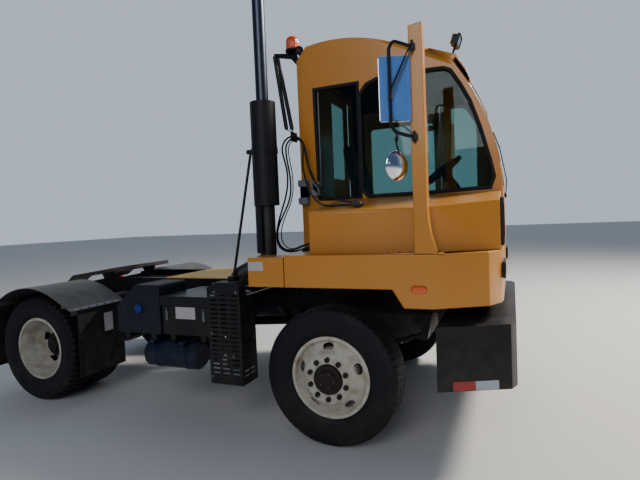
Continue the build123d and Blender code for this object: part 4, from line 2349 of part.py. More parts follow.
# Cab tilt cylinder: barrel pinned on the frame's outrigger, rod up to the cab floor's lugs
tilt_base = (tilt_base_x, tilt_base_z)
tilt_tip = (tilt_eye_x, tilt_eye_z)
tilt_length = hypot(tilt_tip[0] - tilt_base[0], tilt_tip[1] - tilt_base[1])
with BuildPart() as tilt_barrel:
    with BuildSketch(cylinder_frame(tilt_base, tilt_tip, tilt_y)):
        Circle(32)
    extrude(amount=tilt_length - 62)
    with BuildSketch(cylinder_frame(tilt_base, tilt_tip, tilt_y).offset(50)):
        Circle(16.1)
    extrude(amount=tilt_length, mode=Mode.SUBTRACT)
    with BuildSketch(side_plane(tilt_y + 32)):
        with Locations(tilt_base):
            Circle(34)
    extrude(amount=64)
    with BuildSketch(side_plane(tilt_y + 58)):
        with Locations(tilt_base):
            Circle(cylinder_pin_radius - 0.1)
    extrude(amount=116)
write(tilt_barrel, "tilt_barrel")
with BuildPart() as tilt_rod:
    with BuildSketch(cylinder_frame(tilt_base, tilt_tip, tilt_y).offset(70)):
        Circle(16)
    extrude(amount=tilt_length - 70)
    with BuildSketch(side_plane(tilt_y + 26)):
        with Locations(tilt_tip):
            Circle(26)
    extrude(amount=52)
write(tilt_rod, "tilt_rod")
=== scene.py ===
import math

import bmesh
import bpy
from mathutils import Matrix, Vector


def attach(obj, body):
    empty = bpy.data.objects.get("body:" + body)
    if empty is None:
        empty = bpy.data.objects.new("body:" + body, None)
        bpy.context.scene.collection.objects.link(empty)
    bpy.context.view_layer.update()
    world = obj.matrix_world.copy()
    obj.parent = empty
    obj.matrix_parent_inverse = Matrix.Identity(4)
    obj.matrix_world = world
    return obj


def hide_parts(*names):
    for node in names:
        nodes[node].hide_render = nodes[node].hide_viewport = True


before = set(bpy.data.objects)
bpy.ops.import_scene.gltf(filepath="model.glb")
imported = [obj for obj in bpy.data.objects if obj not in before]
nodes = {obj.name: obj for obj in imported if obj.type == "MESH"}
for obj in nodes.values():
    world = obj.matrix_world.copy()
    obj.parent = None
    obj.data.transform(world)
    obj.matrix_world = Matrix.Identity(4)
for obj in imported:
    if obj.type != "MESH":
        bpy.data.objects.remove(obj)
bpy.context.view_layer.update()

# Camera: the photograph was taken from the right side, level with the hood, a little
# ahead of the front axle, with a wide lens.
FRONT_AXLE = 1.335
lens_yaw, lens_pitch, lens_roll = 0.3963, -0.0433, -0.0411
look = Vector((
    -math.sin(lens_yaw) * math.cos(lens_pitch),
    math.cos(lens_yaw) * math.cos(lens_pitch),
    math.sin(lens_pitch),
))
level_right = Vector((math.cos(lens_yaw), math.sin(lens_yaw), 0))
level_up = level_right.cross(look)
cam_right = level_right * math.cos(lens_roll) + level_up * math.sin(lens_roll)
cam_up = -level_right * math.sin(lens_roll) + level_up * math.cos(lens_roll)


def shown(name, data):
    """A new object in the scene."""
    made = bpy.data.objects.new(name, data)
    bpy.context.scene.collection.objects.link(made)
    return made


camera = shown("camera", bpy.data.cameras.new("camera"))
camera.data.lens = 25.93
camera.data.sensor_width = 36
camera.matrix_world = Matrix((
    (cam_right.x, cam_up.x, -look.x, FRONT_AXLE + 1.239),
    (cam_right.y, cam_up.y, -look.y, -4.189),
    (cam_right.z, cam_up.z, -look.z, 1.648),
    (0, 0, 0, 1),
))
bpy.context.scene.camera = camera

# Studio: a wide flat floor in a pale finish, a broad key light from beyond the cab's front,
# and a softer one from the camera's side.


def hard_material(name, colour, rough, metal=0.0, coat=0.0):
    """A new material with its plain values set on the shader's own sockets."""
    made = bpy.data.materials.new(name)
    made.use_nodes = True
    shader = made.node_tree.nodes["Principled BSDF"]
    shader.inputs["Base Color"].default_value = (*colour, 1)
    shader.inputs["Roughness"].default_value = rough
    shader.inputs["Metallic"].default_value = metal
    shader.inputs["Coat Weight"].default_value = coat
    shader.inputs["Coat Roughness"].default_value = 0.12
    shader.inputs["Specular IOR Level"].default_value = 0.5 if coat or metal or colour[0] > 0.1 else 0.22
    return made


def wired(tree, kind, result, sockets=None, **settings):
    """The named output of a new shader node; what comes from another node is linked, the rest is set."""
    made = tree.nodes.new(f"ShaderNode{kind}")
    for setting, value in settings.items():
        setattr(made, setting, value)
    for socket, value in (sockets or {}).items():
        if isinstance(value, bpy.types.NodeSocket):
            tree.links.new(value, made.inputs[socket])
        else:
            made.inputs[socket].default_value = value
    return made.outputs[result]


def at(x, y, z):
    """A point in space, with x measured forward from the front axle."""
    return Vector((FRONT_AXLE + x, y, z))


floor_mesh = bmesh.new()
bmesh.ops.create_grid(floor_mesh, x_segments=2, y_segments=2, size=60)
floor_data = bpy.data.meshes.new("floor")
floor_mesh.to_mesh(floor_data)
floor_mesh.free()
floor = shown("floor", floor_data)
floor_data.materials.append(hard_material("pale_floor", (0.62, 0.60, 0.57), 0.85))
world = bpy.data.worlds.new("studio")
world.use_nodes = True
# the wall beyond the machine is bright and the one behind the camera is dim and blue, so
# the near side is in open shade
studio_tree = world.node_tree
wall = wired(studio_tree, "SeparateXYZ", "Y", {"Vector": wired(studio_tree, "TexCoord", "Generated")})
beyond = wired(studio_tree, "MapRange", "Result", {"Value": wall, "From Min": -0.25, "From Max": 0.55},
               interpolation_type="SMOOTHSTEP")
sky = wired(studio_tree, "Mix", "Result",
            {"Factor": beyond, "A": (0.055, 0.085, 0.15, 1), "B": (0.50, 0.58, 0.68, 1)}, data_type="RGBA")
studio_tree.links.new(sky, studio_tree.nodes["Background"].inputs["Color"])
bpy.context.scene.world = world
# columns: name, place, size in metres, watts, colour
studio_lights = [
    ("key", (9.0, 5.0, 9.0), 2.6, 2400, (1.0, 0.95, 0.87)),
    ("fill", (2.0, -11.0, 6.5), 6.0, 420, (0.95, 0.97, 1.0)),
]
for name, place, size, watts, colour in studio_lights:
    lamp = bpy.data.lights.new(name, "AREA")
    lamp.size = size
    lamp.energy = watts
    lamp.color = colour
    stand = shown(name, lamp)
    stand.location = place
    stand.rotation_euler = (at(-0.5, 0, 1.4) - stand.location).to_track_quat("-Z", "Y").to_euler()

# Frame, bumper and running gear: welded and forged steel in satin black, with road dust
# that lies thickest on what is low and on what faces up.


def finish_of(name, colour, rough, metal=0.0, coat=0.0, aged=None, aged_scale=2.5, aged_share=0.35,
              dust=0.25, dust_top=1.3, grain=0.02, grain_scale=160.0):
    """A surface with patchy ageing, dust that thins out with height, and a fine grain.

    aged is the colour of the worn patches; dust is the most that dust covers, near the ground;
    dust_top is the height in metres where it has thinned out; grain is the bump's strength.
    """
    made = hard_material(name, colour, rough, metal, coat)
    tree = made.node_tree
    place = wired(tree, "TexCoord", "Object")
    patches = wired(tree, "TexNoise", "Fac",
                    {"Vector": place, "Scale": aged_scale, "Detail": 6, "Roughness": 0.62})
    share = wired(tree, "MapRange", "Result",
                  {"Value": patches, "From Min": 0.45, "From Max": 0.75, "To Max": aged_share})
    worn_colour = aged or [value * 0.72 for value in colour]
    worn = wired(tree, "Mix", "Result", {"Factor": share, "A": (*colour, 1), "B": (*worn_colour, 1)},
                 data_type="RGBA")
    # dust: by height, by how far the face looks up, and by a coarse noise
    height = wired(tree, "MapRange", "Result",
                   {"Value": wired(tree, "SeparateXYZ", "Z", {"Vector": place}), "From Min": 0.25,
                    "From Max": dust_top, "To Min": dust, "To Max": dust * 0.12})
    facing = wired(tree, "SeparateXYZ", "Z", {"Vector": wired(tree, "NewGeometry", "Normal")})
    upward = wired(tree, "MapRange", "Result", {"Value": facing, "From Min": 0.4, "To Max": dust * 0.9})
    both = wired(tree, "Math", 0, {0: height, 1: upward}, operation="ADD", use_clamp=True)
    clouds = wired(tree, "TexNoise", "Fac", {"Vector": place, "Scale": 7, "Detail": 8, "Roughness": 0.7})
    cloudy = wired(tree, "MapRange", "Result", {"Value": clouds, "From Min": 0.35, "From Max": 0.7})
    amount = wired(tree, "Math", 0, {0: both, 1: cloudy}, operation="MULTIPLY")
    found = {
        "Base Color": wired(tree, "Mix", "Result", {"Factor": amount, "A": worn,
                                                    "B": (0.36, 0.29, 0.21, 1)},
                            data_type="RGBA"),
        "Roughness": wired(tree, "MapRange", "Result",
                           {"Value": amount, "To Min": rough, "To Max": min(1.0, rough + 0.5)}),
    }
    if grain:
        fine = wired(tree, "TexNoise", "Fac", {"Vector": place, "Scale": grain_scale, "Detail": 3})
        found["Normal"] = wired(tree, "Bump", "Normal",
                                {"Height": fine, "Strength": grain, "Distance": 0.01})
    for socket, value in found.items():
        tree.links.new(value, tree.nodes["Principled BSDF"].inputs[socket])
    return made


SAME_POINT = 0.00002
FOLD_ANGLE = math.radians(32)


def dress(material, *names, edge=0.0, steps=2):
    """Give CAD nodes a material and, where edge is set, rounded edges of that width."""
    for node_name in names:
        part = nodes[node_name]
        part.data.materials.clear()
        part.data.materials.append(material)
        weld = part.modifiers.new("weld", "WELD")
        weld.merge_threshold = SAME_POINT
        if edge:
            flat = part.modifiers.new("flat", "DECIMATE")
            flat.decimate_type = "DISSOLVE"
            flat.angle_limit = math.radians(0.5)
            bevel = part.modifiers.new("edge", "BEVEL")
            bevel.width = edge
            bevel.segments = steps
            bevel.limit_method = "ANGLE"
            bevel.angle_limit = FOLD_ANGLE
            bevel.use_clamp_overlap = False
            bevel.harden_normals = True
        else:
            split = part.modifiers.new("crisp", "EDGE_SPLIT")
            split.split_angle = math.radians(35)
        for face in part.data.polygons:
            face.use_smooth = True
        bend = part.modifiers.new("smooth", "WEIGHTED_NORMAL")
        bend.keep_sharp = True


def piece_of(name, mesh, material, body, *replaced, slot=None, smooth=40):
    """Turn a bmesh into a piece that rides a body, with edges sharper than smooth left crisp."""
    bmesh.ops.recalc_face_normals(mesh, faces=mesh.faces)
    data = bpy.data.meshes.new(name)
    mesh.to_mesh(data)
    mesh.free()
    data.materials.append(material)
    data.polygons.foreach_set("use_smooth", [True] * len(data.polygons))
    data.set_sharp_from_angle(angle=math.radians(smooth))
    made = shown(name, data)
    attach(made, body)
    if replaced:
        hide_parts(*replaced)
    return made


def skin(mesh, rings, looped=False):
    """Faces between rings with as many points, closed off at both ends unless the rings are looped."""
    for first, second in zip(rings, rings[1:] + (rings[:1] if looped else [])):
        for step in range(len(first)):
            after = (step + 1) % len(first)
            mesh.faces.new((first[step], first[after], second[after], second[step]))
    if not looped:
        mesh.faces.new(rings[0])
        mesh.faces.new(rings[-1])


def on_circle(side, other, turn):
    """The direction that lies a turn round from side towards other."""
    return side * math.cos(turn) + other * math.sin(turn)


def circle(mesh, centre, side, other, radius, sides):
    """Points round a centre, spanned by two directions square to each other."""
    return [mesh.verts.new(centre + on_circle(side, other, 2 * math.pi * step / sides) * radius)
            for step in range(sides)]


def tube(mesh, line, radius, sides=12):
    """A round bar along a line, closed at both ends."""
    line = [Vector(point) for point in line]
    side, rings = None, []
    for index, point in enumerate(line):
        ahead = line[min(index + 1, len(line) - 1)] - point
        behind = point - line[max(index - 1, 0)]
        along = (ahead.normalized() + behind.normalized()).normalized()
        side = along.orthogonal() if side is None else side
        side = (side - along * side.dot(along)).normalized()
        rings.append(circle(mesh, point, side, along.cross(side), radius, sides))
    skin(mesh, rings)


def turned(mesh, centre, axis, profile, sides=32):
    """A turned part; profile is (distance along the axis, radius) from one end to the other."""
    centre, axis = Vector(centre), Vector(axis).normalized()
    side = axis.orthogonal().normalized()
    other = axis.cross(side)
    skin(mesh, [circle(mesh, centre + axis * along, side, other, radius, sides) for along,
                radius in profile])


def bolt(mesh, seat, axis, size=0.009, height=0.007):
    """A washer and a hexagon head standing on a surface."""
    turned(mesh, seat, axis, [(0, size * 1.35), (0.0018, size * 1.35)], 20)
    turned(mesh, Vector(seat) + Vector(axis).normalized() * 0.0018, axis,
           [(0, size), (height * 0.8, size), (height, size * 0.82)], 6)


def slab(mesh, outline, depth, edge=0.0, steps=2):
    """A plate: an outline of points in space, carried along the vector depth, edges rounded by edge."""
    low = [mesh.verts.new(Vector(point)) for point in outline]
    high = [mesh.verts.new(Vector(point) + Vector(depth)) for point in outline]
    made = [mesh.faces.new(low), mesh.faces.new(high)]
    for index in range(len(low)):
        after = (index + 1) % len(low)
        made.append(mesh.faces.new((low[index], low[after], high[after], high[index])))
    if edge:
        edges = list({edge_of for face in made for edge_of in face.edges})
        bmesh.ops.recalc_face_normals(mesh, faces=made)
        bmesh.ops.bevel(mesh, geom=edges, offset=edge, segments=steps, profile=0.5, affect="EDGES",
                        clamp_overlap=True)


def rounded_box(width, height, radius, steps=5):
    """Outline of a rectangle with rounded corners, as pairs round the middle."""
    outline = []
    for quarter, (u, v) in enumerate(((1, 1), (-1, 1), (-1, -1), (1, -1))):
        for step in range(steps + 1):
            turn = math.radians(90 * (quarter + step / steps))
            outline.append((
                u * (width / 2 - radius) + radius * math.cos(turn),
                v * (height / 2 - radius) + radius * math.sin(turn),
            ))
    return outline


def placed(pairs, origin, across, up):
    """Points in space for pairs measured along two directions from an origin."""
    origin, across, up = Vector(origin), Vector(across), Vector(up)
    return [origin + across * u + up * v for u, v in pairs]


FORE, LEFT, UP = (1, 0, 0), (0, 1, 0), (0, 0, 1)


def plate(mesh, size, middle, across, up, depth, edge=0.0):
    """A slab with a rounded rectangle for its outline: size is its width, height and radius."""
    slab(mesh, placed(rounded_box(*size), middle, across, up), depth, edge)


def rounded(points, radius, steps=5):
    """The same line with its corners rounded off, as a bent metal tube has them."""
    points = [Vector(point) for point in points]
    line = [points[0]]
    for before, corner, after in zip(points, points[1:], points[2:]):
        arriving, leaving = corner - before, after - corner
        cut = min(radius * math.tan(arriving.angle(leaving) / 2),
                  0.45 * min(arriving.length, leaving.length))
        start, end = corner - arriving.normalized() * cut, corner + leaving.normalized() * cut
        for step in range(steps + 1):
            share = step / steps
            line.append(start.lerp(corner, share).lerp(corner.lerp(end, share), share))
    return line + [points[-1]]


black_paint = finish_of("black_paint", (0.008, 0.008, 0.010), 0.42, aged=(0.014, 0.013, 0.013), dust=0.09)
dress(black_paint, "frame_rails", "front_axle", "leaf_springs", "rear_axle", "cab_steps", "tie_rod",
      "knuckle_right", "knuckle_left", "lift_boom", "lift_barrels", "tilt_barrel", "cab_floor")
dress(black_paint, "front_bumper", edge=0.003)
chrome = hard_material("hard_chrome", (0.80, 0.81, 0.83), 0.09, metal=1.0)
dress(chrome, "lift_rods", "tilt_rod")
casting = finish_of("engine_casting", (0.03, 0.03, 0.033), 0.62, aged=(0.06, 0.045, 0.03), dust=0.3,
                    grain=0.08, grain_scale=60)
dress(casting, "engine")
fifth_wheel_steel = finish_of("fifth_wheel_steel", (0.035, 0.033, 0.032), 0.4, metal=0.4,
                              aged=(0.12, 0.07, 0.04), aged_scale=9, aged_share=0.6, dust=0.3, dust_top=1.6)
dress(fifth_wheel_steel, "fifth_wheel")

# Tyres: eleven-inch truck tyres moulded in black rubber, ribbed in front and with cross
# lugs on the driven twins; road dust lies thickest on their lower half.
AXLE_Z = 0.507
TREAD_HALF = 0.112
TYRE_RADIUS = 0.507
rubber = finish_of("tyre_rubber", (0.007, 0.0075, 0.010), 0.62, aged=(0.013, 0.013, 0.015), aged_scale=9,
                   aged_share=0.5, dust=0.07, dust_top=0.5, grain=0.10, grain_scale=220)
# columns: distance from the middle of the tread, depth below the crown, zone
# (0 plain, 1 middle ribs cut by sipes, 2 shoulder ribs cut by lugs)
half_tread = [
    (0.000, 0.000, 1), (0.018, 0.000, 1), (0.021, 0.013, 0), (0.027, 0.013, 0), (0.030, 0.000, 1),
    (0.061, 0.001, 1), (0.064, 0.014, 0), (0.071, 0.014, 0), (0.074, 0.001, 2), (0.098, 0.003, 2),
    (0.112, 0.006, 2), (0.124, 0.012, 2), (0.131, 0.022, 2), (0.135, 0.036, 0), (0.1365, 0.052, 0),
    (0.1395, 0.068, 0), (0.1405, 0.071, 0), (0.1435, 0.073, 0), (0.1437, 0.090, 0), (0.1430, 0.118, 0),
    (0.1395, 0.145, 0), (0.1340, 0.168, 0), (0.1355, 0.172, 0), (0.1340, 0.177, 0), (0.1250, 0.190, 0),
    (0.1150, 0.200, 0), (0.1080, 0.204, 0), (0.1005, 0.207, 0), (0.1005, 0.220, 0),
]


def tyre_rings(mesh, centre_x, centre_y, pitches, cut_share, depth, lug_depth):
    """One treaded tyre: rings of points round the axle, some of them let into the tread."""
    columns = [(-y, low, zone) for y, low, zone in reversed(half_tread)] + half_tread[1:]
    edge_share = 0.03
    steps = [0.0, cut_share, cut_share + edge_share, (1 + cut_share) / 2, 1 - edge_share]
    rings = []
    for pitch in range(pitches):
        for index, share in enumerate(steps):
            ring = []
            for y, low, zone in columns:
                skew = 0.35 * y / TREAD_HALF if zone else 0.0
                angle = 2 * math.pi * (pitch + share + skew) / pitches
                cut = {0: 0.0, 1: depth, 2: lug_depth}[zone] if index < 2 else 0.0
                radius = TYRE_RADIUS - low - cut
                ring.append(mesh.verts.new((
                    centre_x + radius * math.sin(angle),
                    centre_y + y,
                    AXLE_Z + radius * math.cos(angle),
                )))
            rings.append(ring)
    skin(mesh, rings, looped=True)


REAR_AXLE = FRONT_AXLE - 3.05
WHEEL_Y = 1.035
DUAL_SPACING = 0.34
for side, side_name in ((-1, "right"), (1, "left")):
    treads = bmesh.new()
    tyre_rings(treads, FRONT_AXLE, side * WHEEL_Y, 60, 0.06, 0.004, 0.007)
    piece_of(f"front_tyre_tread_{side_name}", treads, rubber, f"front_roadwheel_{side_name}",
             f"front_tyre_{side_name}", slot="tyre", smooth=30)
    treads = bmesh.new()
    for twin_y in (WHEEL_Y, WHEEL_Y - DUAL_SPACING):
        tyre_rings(treads, REAR_AXLE, side * twin_y, 48, 0.22, 0.012, 0.016)
    piece_of(f"rear_tyre_treads_{side_name}", treads, rubber, f"rear_roadwheel_{side_name}",
             f"rear_tyres_{side_name}", slot="tyre", smooth=30)

# Exhaust: the canister and S-bend are painted black, the stack above the shield is bare
# aluminised tube gone dull; the shield is rolled sheet in black.
exhaust_steel = finish_of("stack_steel", (0.050, 0.058, 0.078), 0.32, metal=0.85, aged=(0.04, 0.036, 0.034),
                          aged_scale=6, aged_share=0.6, dust=0.05, grain=0.03)
hot_black = finish_of("hot_black", (0.009, 0.010, 0.012), 0.5, aged=(0.018, 0.015, 0.014), dust=0.08,
                      grain=0.03)
dress(exhaust_steel, "exhaust_stack")
dress(hot_black, "exhaust_shield", "stack_brace")


def masked(material, colour, rough, metal, masks):
    """Give a second finish to the part of a surface where every mask holds.

    masks are (kind, centre, limit, sign): kind is X, Y or Z, "side" for the distance from the
    machine's middle, or "radius" for that from an (X, Z) centre; sign 1 keeps what is above the
    limit, -1 what is below it.
    """
    tree = material.node_tree
    axes = wired(tree, "SeparateXYZ", "X", {"Vector": wired(tree, "TexCoord", "Object")}).node.outputs
    total = None
    for kind, centre, limit, sign in masks:
        if kind == "radius":
            flat = wired(tree, "CombineXYZ", "Vector", {"X": axes["X"], "Z": axes["Z"]})
            value = wired(tree, "VectorMath", "Value", {0: flat, 1: (centre[0], 0, centre[1])},
                          operation="DISTANCE")
        elif kind == "side":
            value = wired(tree, "Math", 0, {0: axes["Y"]}, operation="ABSOLUTE")
        else:
            value = axes[kind]
        step = wired(tree, "Math", 0, {0: value, 1: limit},
                     operation="GREATER_THAN" if sign > 0 else "LESS_THAN")
        total = step if total is None else wired(tree, "Math", 0, {0: total, 1: step}, operation="MULTIPLY")
    speckle = wired(tree, "TexNoise", "Fac", {"Scale": 26, "Detail": 7})
    darker = [channel * 0.4 for channel in colour]
    tint = wired(tree, "Mix", "Result", {"Factor": speckle, "A": (*colour, 1), "B": (*darker, 1)},
                 data_type="RGBA")
    for socket, value in (("Base Color", tint), ("Roughness", rough), ("Metallic", metal)):
        target = tree.nodes["Principled BSDF"].inputs[socket]
        before = target.links[0].from_socket if target.is_linked else target.default_value
        mix = wired(tree, "Mix", "Result", {"Factor": total, "A": before, "B": value},
                    data_type="RGBA" if socket == "Base Color" else "FLOAT")
        tree.links.new(mix, target)


masked(exhaust_steel, (0.016, 0.017, 0.019), 0.55, 0.0, [("Z", None, 2.60, -1)])

# Wheels: pressed steel discs in off-white enamel, chalky and streaked with dirt, on rusty
# hubs; the nuts and the hub's face are bare iron.
# columns: the axle's X, how far out the discs' hub faces begin, CAD node
for axle_x, face_side, pair in ((FRONT_AXLE, 1.1812, "front_wheel"), (REAR_AXLE, 0.8772, "rear_wheels")):
    enamel = finish_of(f"{pair}_enamel", (0.50, 0.48, 0.41), 0.46, aged=(0.26, 0.17, 0.07), aged_scale=11,
                       aged_share=0.85, dust=0.18, dust_top=0.6, grain=0.04)
    centre_mask = [("side", None, face_side, 1), ("radius", (axle_x, AXLE_Z), 0.172, -1)]
    masked(enamel, (0.020, 0.011, 0.008), 0.7, 0.2, centre_mask)
    dress(enamel, f"{pair}_right", f"{pair}_left")

# Guard, battery box and tanks: the guard and the box are folded sheet in satin black, bolted to
# arms on the frame; one tank is moulded in dark plastic and the others are rolled and painted navy.
guard_black = finish_of("guard_black", (0.008, 0.009, 0.011), 0.36, aged=(0.014, 0.014, 0.015), dust=0.07)
dress(guard_black, "louvre_guard")
dress(guard_black, "battery_box", "battery_lid", edge=0.004)
moulded = finish_of("moulded_black", (0.010, 0.013, 0.022), 0.55, dust=0.07, grain=0.10, grain_scale=500)
dress(moulded, "fluid_tank")
navy = finish_of("navy_paint", (0.008, 0.014, 0.038), 0.4, dust=0.08)
dress(navy, "tanks")

# Fenders, flaps, deck plate and tail lamps: the fenders are curved grey sheet with rubber flaps
# hung from them, and the walkway plate on the rails is painted yellow and worn by boots.
flap_rubber = finish_of("flap_rubber", (0.010, 0.011, 0.013), 0.8, dust=0.16, dust_top=1.0, grain=0.06)
fender_grey = finish_of("fender_grey", (0.042, 0.045, 0.050), 0.40, aged=(0.075, 0.075, 0.078),
                        aged_scale=5, aged_share=0.6, dust=0.25, dust_top=1.5)
dress(flap_rubber, "mud_flaps")
dress(fender_grey, "rear_fenders")
deck_yellow = finish_of("deck_yellow", (0.72, 0.42, 0.05), 0.5, aged=(0.42, 0.30, 0.12), aged_scale=6,
                        aged_share=0.6, dust=0.12, dust_top=2.0)
dress(deck_yellow, "deck_plate")
red_lens = hard_material("red_lens", (0.45, 0.01, 0.01), 0.12, coat=0.8)
dress(red_lens, "tail_lamps")

# Cab, deck and hood: pressed and welded steel panels in orange-yellow gloss. The cab's walls
# and its roof cap are one welded body, so one piece stands for both, dark-lined under the roof.
yellow = finish_of("yellow_paint", (0.53, 0.205, 0.014), 0.36, coat=0.25, aged=(0.43, 0.16, 0.012),
                   aged_scale=1.7, aged_share=0.35, dust=0.05, dust_top=2.2, grain=0.012, grain_scale=90)
dress(yellow, "hood", "deck_skirt", "stack_cowl", "mirror_post", "left_door", "rear_door", edge=0.007,
      steps=3)
cab_middle = at(0.3, 0.37, 2.3)
body_copy = shown("cab_body_raw", nodes["cab_shell"].data.copy())
roof_copy = shown("cab_roof_raw", nodes["cab_roof"].data.copy())
for raw in (body_copy, roof_copy):
    weld = raw.modifiers.new("weld", "WELD")
    weld.merge_threshold = SAME_POINT
join_up = body_copy.modifiers.new("join", "BOOLEAN")
join_up.operation = "UNION"
join_up.solver = "EXACT"
join_up.object = roof_copy
seam = body_copy.modifiers.new("seam", "WELD")
seam.merge_threshold = 0.0002
flat = body_copy.modifiers.new("flat", "DECIMATE")
flat.decimate_type = "DISSOLVE"
flat.angle_limit = math.radians(0.6)


def baked(raw):
    """The mesh of an object with its modifiers applied; the object itself goes."""
    bpy.context.view_layer.update()
    mesh = bpy.data.meshes.new_from_object(raw.evaluated_get(bpy.context.evaluated_depsgraph_get()))
    bpy.data.objects.remove(raw)
    return mesh


welded = baked(body_copy)
bpy.data.objects.remove(roof_copy)
welded.polygons.foreach_set("use_smooth", [True] * len(welded.polygons))
# the folds are rounded by 9 mm, and by a third of that round the door's rail and the brow
folds = bmesh.new()
folds.from_mesh(welded)
fold_width = folds.edges.layers.float.new("bevel_weight_edge")
for edge in folds.edges:
    if len(edge.link_faces) == 2 and edge.calc_face_angle() > FOLD_ANGLE:
        x, y, z = (edge.verts[0].co + edge.verts[1].co) / 2
        by_rail = x < FRONT_AXLE - 0.49 and (z > 2.95 or z < 1.44)
        by_brow = x > FRONT_AXLE + 0.5 and z > 2.82
        edge[fold_width] = 0.3 if by_rail or by_brow else 1.0
folds.to_mesh(welded)
folds.free()
rounding = shown("cab_body_folds", welded)
soft = rounding.modifiers.new("edge", "BEVEL")
soft.width = 0.009
soft.segments = 3
soft.limit_method = "WEIGHT"
soft.use_clamp_overlap = False
soft.harden_normals = True
even = rounding.modifiers.new("even", "WEIGHTED_NORMAL")
even.keep_sharp = True
joined = baked(rounding)
lining = finish_of("cab_lining", (0.035, 0.036, 0.038), 0.8, dust=0.05, grain=0.12, grain_scale=400)
joined.materials.clear()
joined.materials.append(yellow)
joined.materials.append(lining)
for face in joined.polygons:
    x, y, z = face.center
    inside = FRONT_AXLE - 0.50 < x < FRONT_AXLE + 1.14 and -0.335 < y < 1.075 and 1.43 < z < 3.19
    inwards = face.normal.dot(cab_middle - face.center) > 0
    face.material_index = 1 if inside and inwards and (z > 2.84 or z < 1.80) else 0
cab_body = shown("cab_body", joined)
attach(cab_body, "cab")
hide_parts("cab_shell", "cab_roof")

# Glass: grey-green tinted panes, cut flat or bent, each held by a black rubber seal that is
# moulded in one length and laps the wall and the glass.
glass = hard_material("tinted_glass", (0.34, 0.52, 0.50), 0.02)


def let_light_through(material, share):
    """Make a finish clear or part clear; gives back its shader."""
    shader = material.node_tree.nodes["Principled BSDF"]
    shader.inputs["Transmission Weight"].default_value = share
    return shader


let_light_through(glass, 1.0).inputs["IOR"].default_value = 1.3
dress(glass, "cab_glass")


def glazed(node_name, material, low, high):
    """Give a second material to the faces of a CAD node that lie inside a box."""
    data = nodes[node_name].data
    data.materials.append(material)
    slot = len(data.materials) - 1
    for face in data.polygons:
        if all(a <= c <= b for a, c, b in zip(low, face.center, high)):
            face.material_index = slot


glazed("left_door", glass, at(-0.262, 1.0765, 1.808), at(0.462, 1.0835, 2.672))
glazed("left_door", black_paint, at(-0.28, 1.1008, 1.63), at(-0.22, 1.14, 1.81))
glazed("rear_door", glass, at(-0.5485, 0.494, 2.088), at(-0.5415, 0.926, 2.912))
glazed("rear_door", black_paint, at(-0.595, 0.44, 1.88), at(-0.5605, 0.48, 2.12))
seal_rubber = finish_of("seal_rubber", (0.008, 0.008, 0.009), 0.6, dust=0.06, grain=0.04, grain_scale=300)


def panes_of(name, middle):
    """Each flat pane of a CAD node: its outward normal and its outline, in order."""
    panes = bmesh.new()
    panes.from_mesh(nodes[name].data)
    bmesh.ops.remove_doubles(panes, verts=panes.verts, dist=0.0001)
    left = set(panes.faces)
    found = []
    while left:
        island, waiting = set(), [left.pop()]
        while waiting:
            face = waiting.pop()
            island.add(face)
            for edge in face.edges:
                for near in edge.link_faces:
                    if near in left:
                        left.discard(near)
                        waiting.append(near)
        centre = sum((face.calc_center_median() for face in island), Vector()) / len(island)
        sides = {}
        for face in island:
            key = tuple(round(value, 1) for value in face.normal)
            sides.setdefault(key, []).append(face)
        best = max(
            (group for group in sides.values() if group[0].normal.dot(centre - middle) > 0),
            key=lambda group: sum(face.calc_area() for face in group),
        )
        chosen = set(best)
        rim = [edge for face in chosen for edge in face.edges if len(chosen & set(edge.link_faces)) == 1]
        links = {}
        for edge in rim:
            for vert in edge.verts:
                links.setdefault(vert, []).append(edge.other_vert(vert))
        start = rim[0].verts[0]
        loop, before, here = [start], start, links[start][0]
        while here is not start and len(loop) < 500:
            loop.append(here)
            ahead = [vert for vert in links[here] if vert is not before]
            before, here = here, ahead[0]
        found.append((best[0].normal.copy(), [vert.co.copy() for vert in loop]))
    panes.free()
    return found


def spaced(outline, least):
    """The outline without points closer than least to the one before."""
    kept = [outline[0]]
    for point in outline[1:]:
        if (point - kept[-1]).length > least:
            kept.append(point)
    if (kept[0] - kept[-1]).length < least:
        kept.pop()
    return kept


def seal(mesh, outline, normal, section):
    """A rubber section carried round a window; section is (distance outwards in the plane, height)."""
    centre = sum(outline, Vector()) / len(outline)
    rings = []
    for index, point in enumerate(outline):
        arriving = (point - outline[index - 1]).normalized()
        leaving = (outline[(index + 1) % len(outline)] - point).normalized()
        out_a = arriving.cross(normal)
        out_b = leaving.cross(normal)
        if out_a.dot(point - centre) < 0 and out_b.dot(point - centre) < 0:
            out_a, out_b = -out_a, -out_b
        away = (out_a + out_b).normalized()
        away /= max(0.35, away.dot(out_a))
        rings.append([mesh.verts.new(point + away * across + normal * height) for across,
                      height in section])
    skin(mesh, rings, looped=True)


seal_section = [(-0.014, 0.0004), (-0.015, 0.012), (-0.010, 0.022), (0.000, 0.0255), (0.012, 0.0245),
                (0.016, 0.0205), (0.016, 0.0172), (-0.001, 0.0168), (-0.001, 0.0004)]
seals = bmesh.new()
for normal, outline in panes_of("cab_glass", cab_middle):
    seal(seals, spaced(outline, 0.004), normal, seal_section)
piece_of("window_seals", seals, seal_rubber, "cab", slot="rubber", smooth=35)

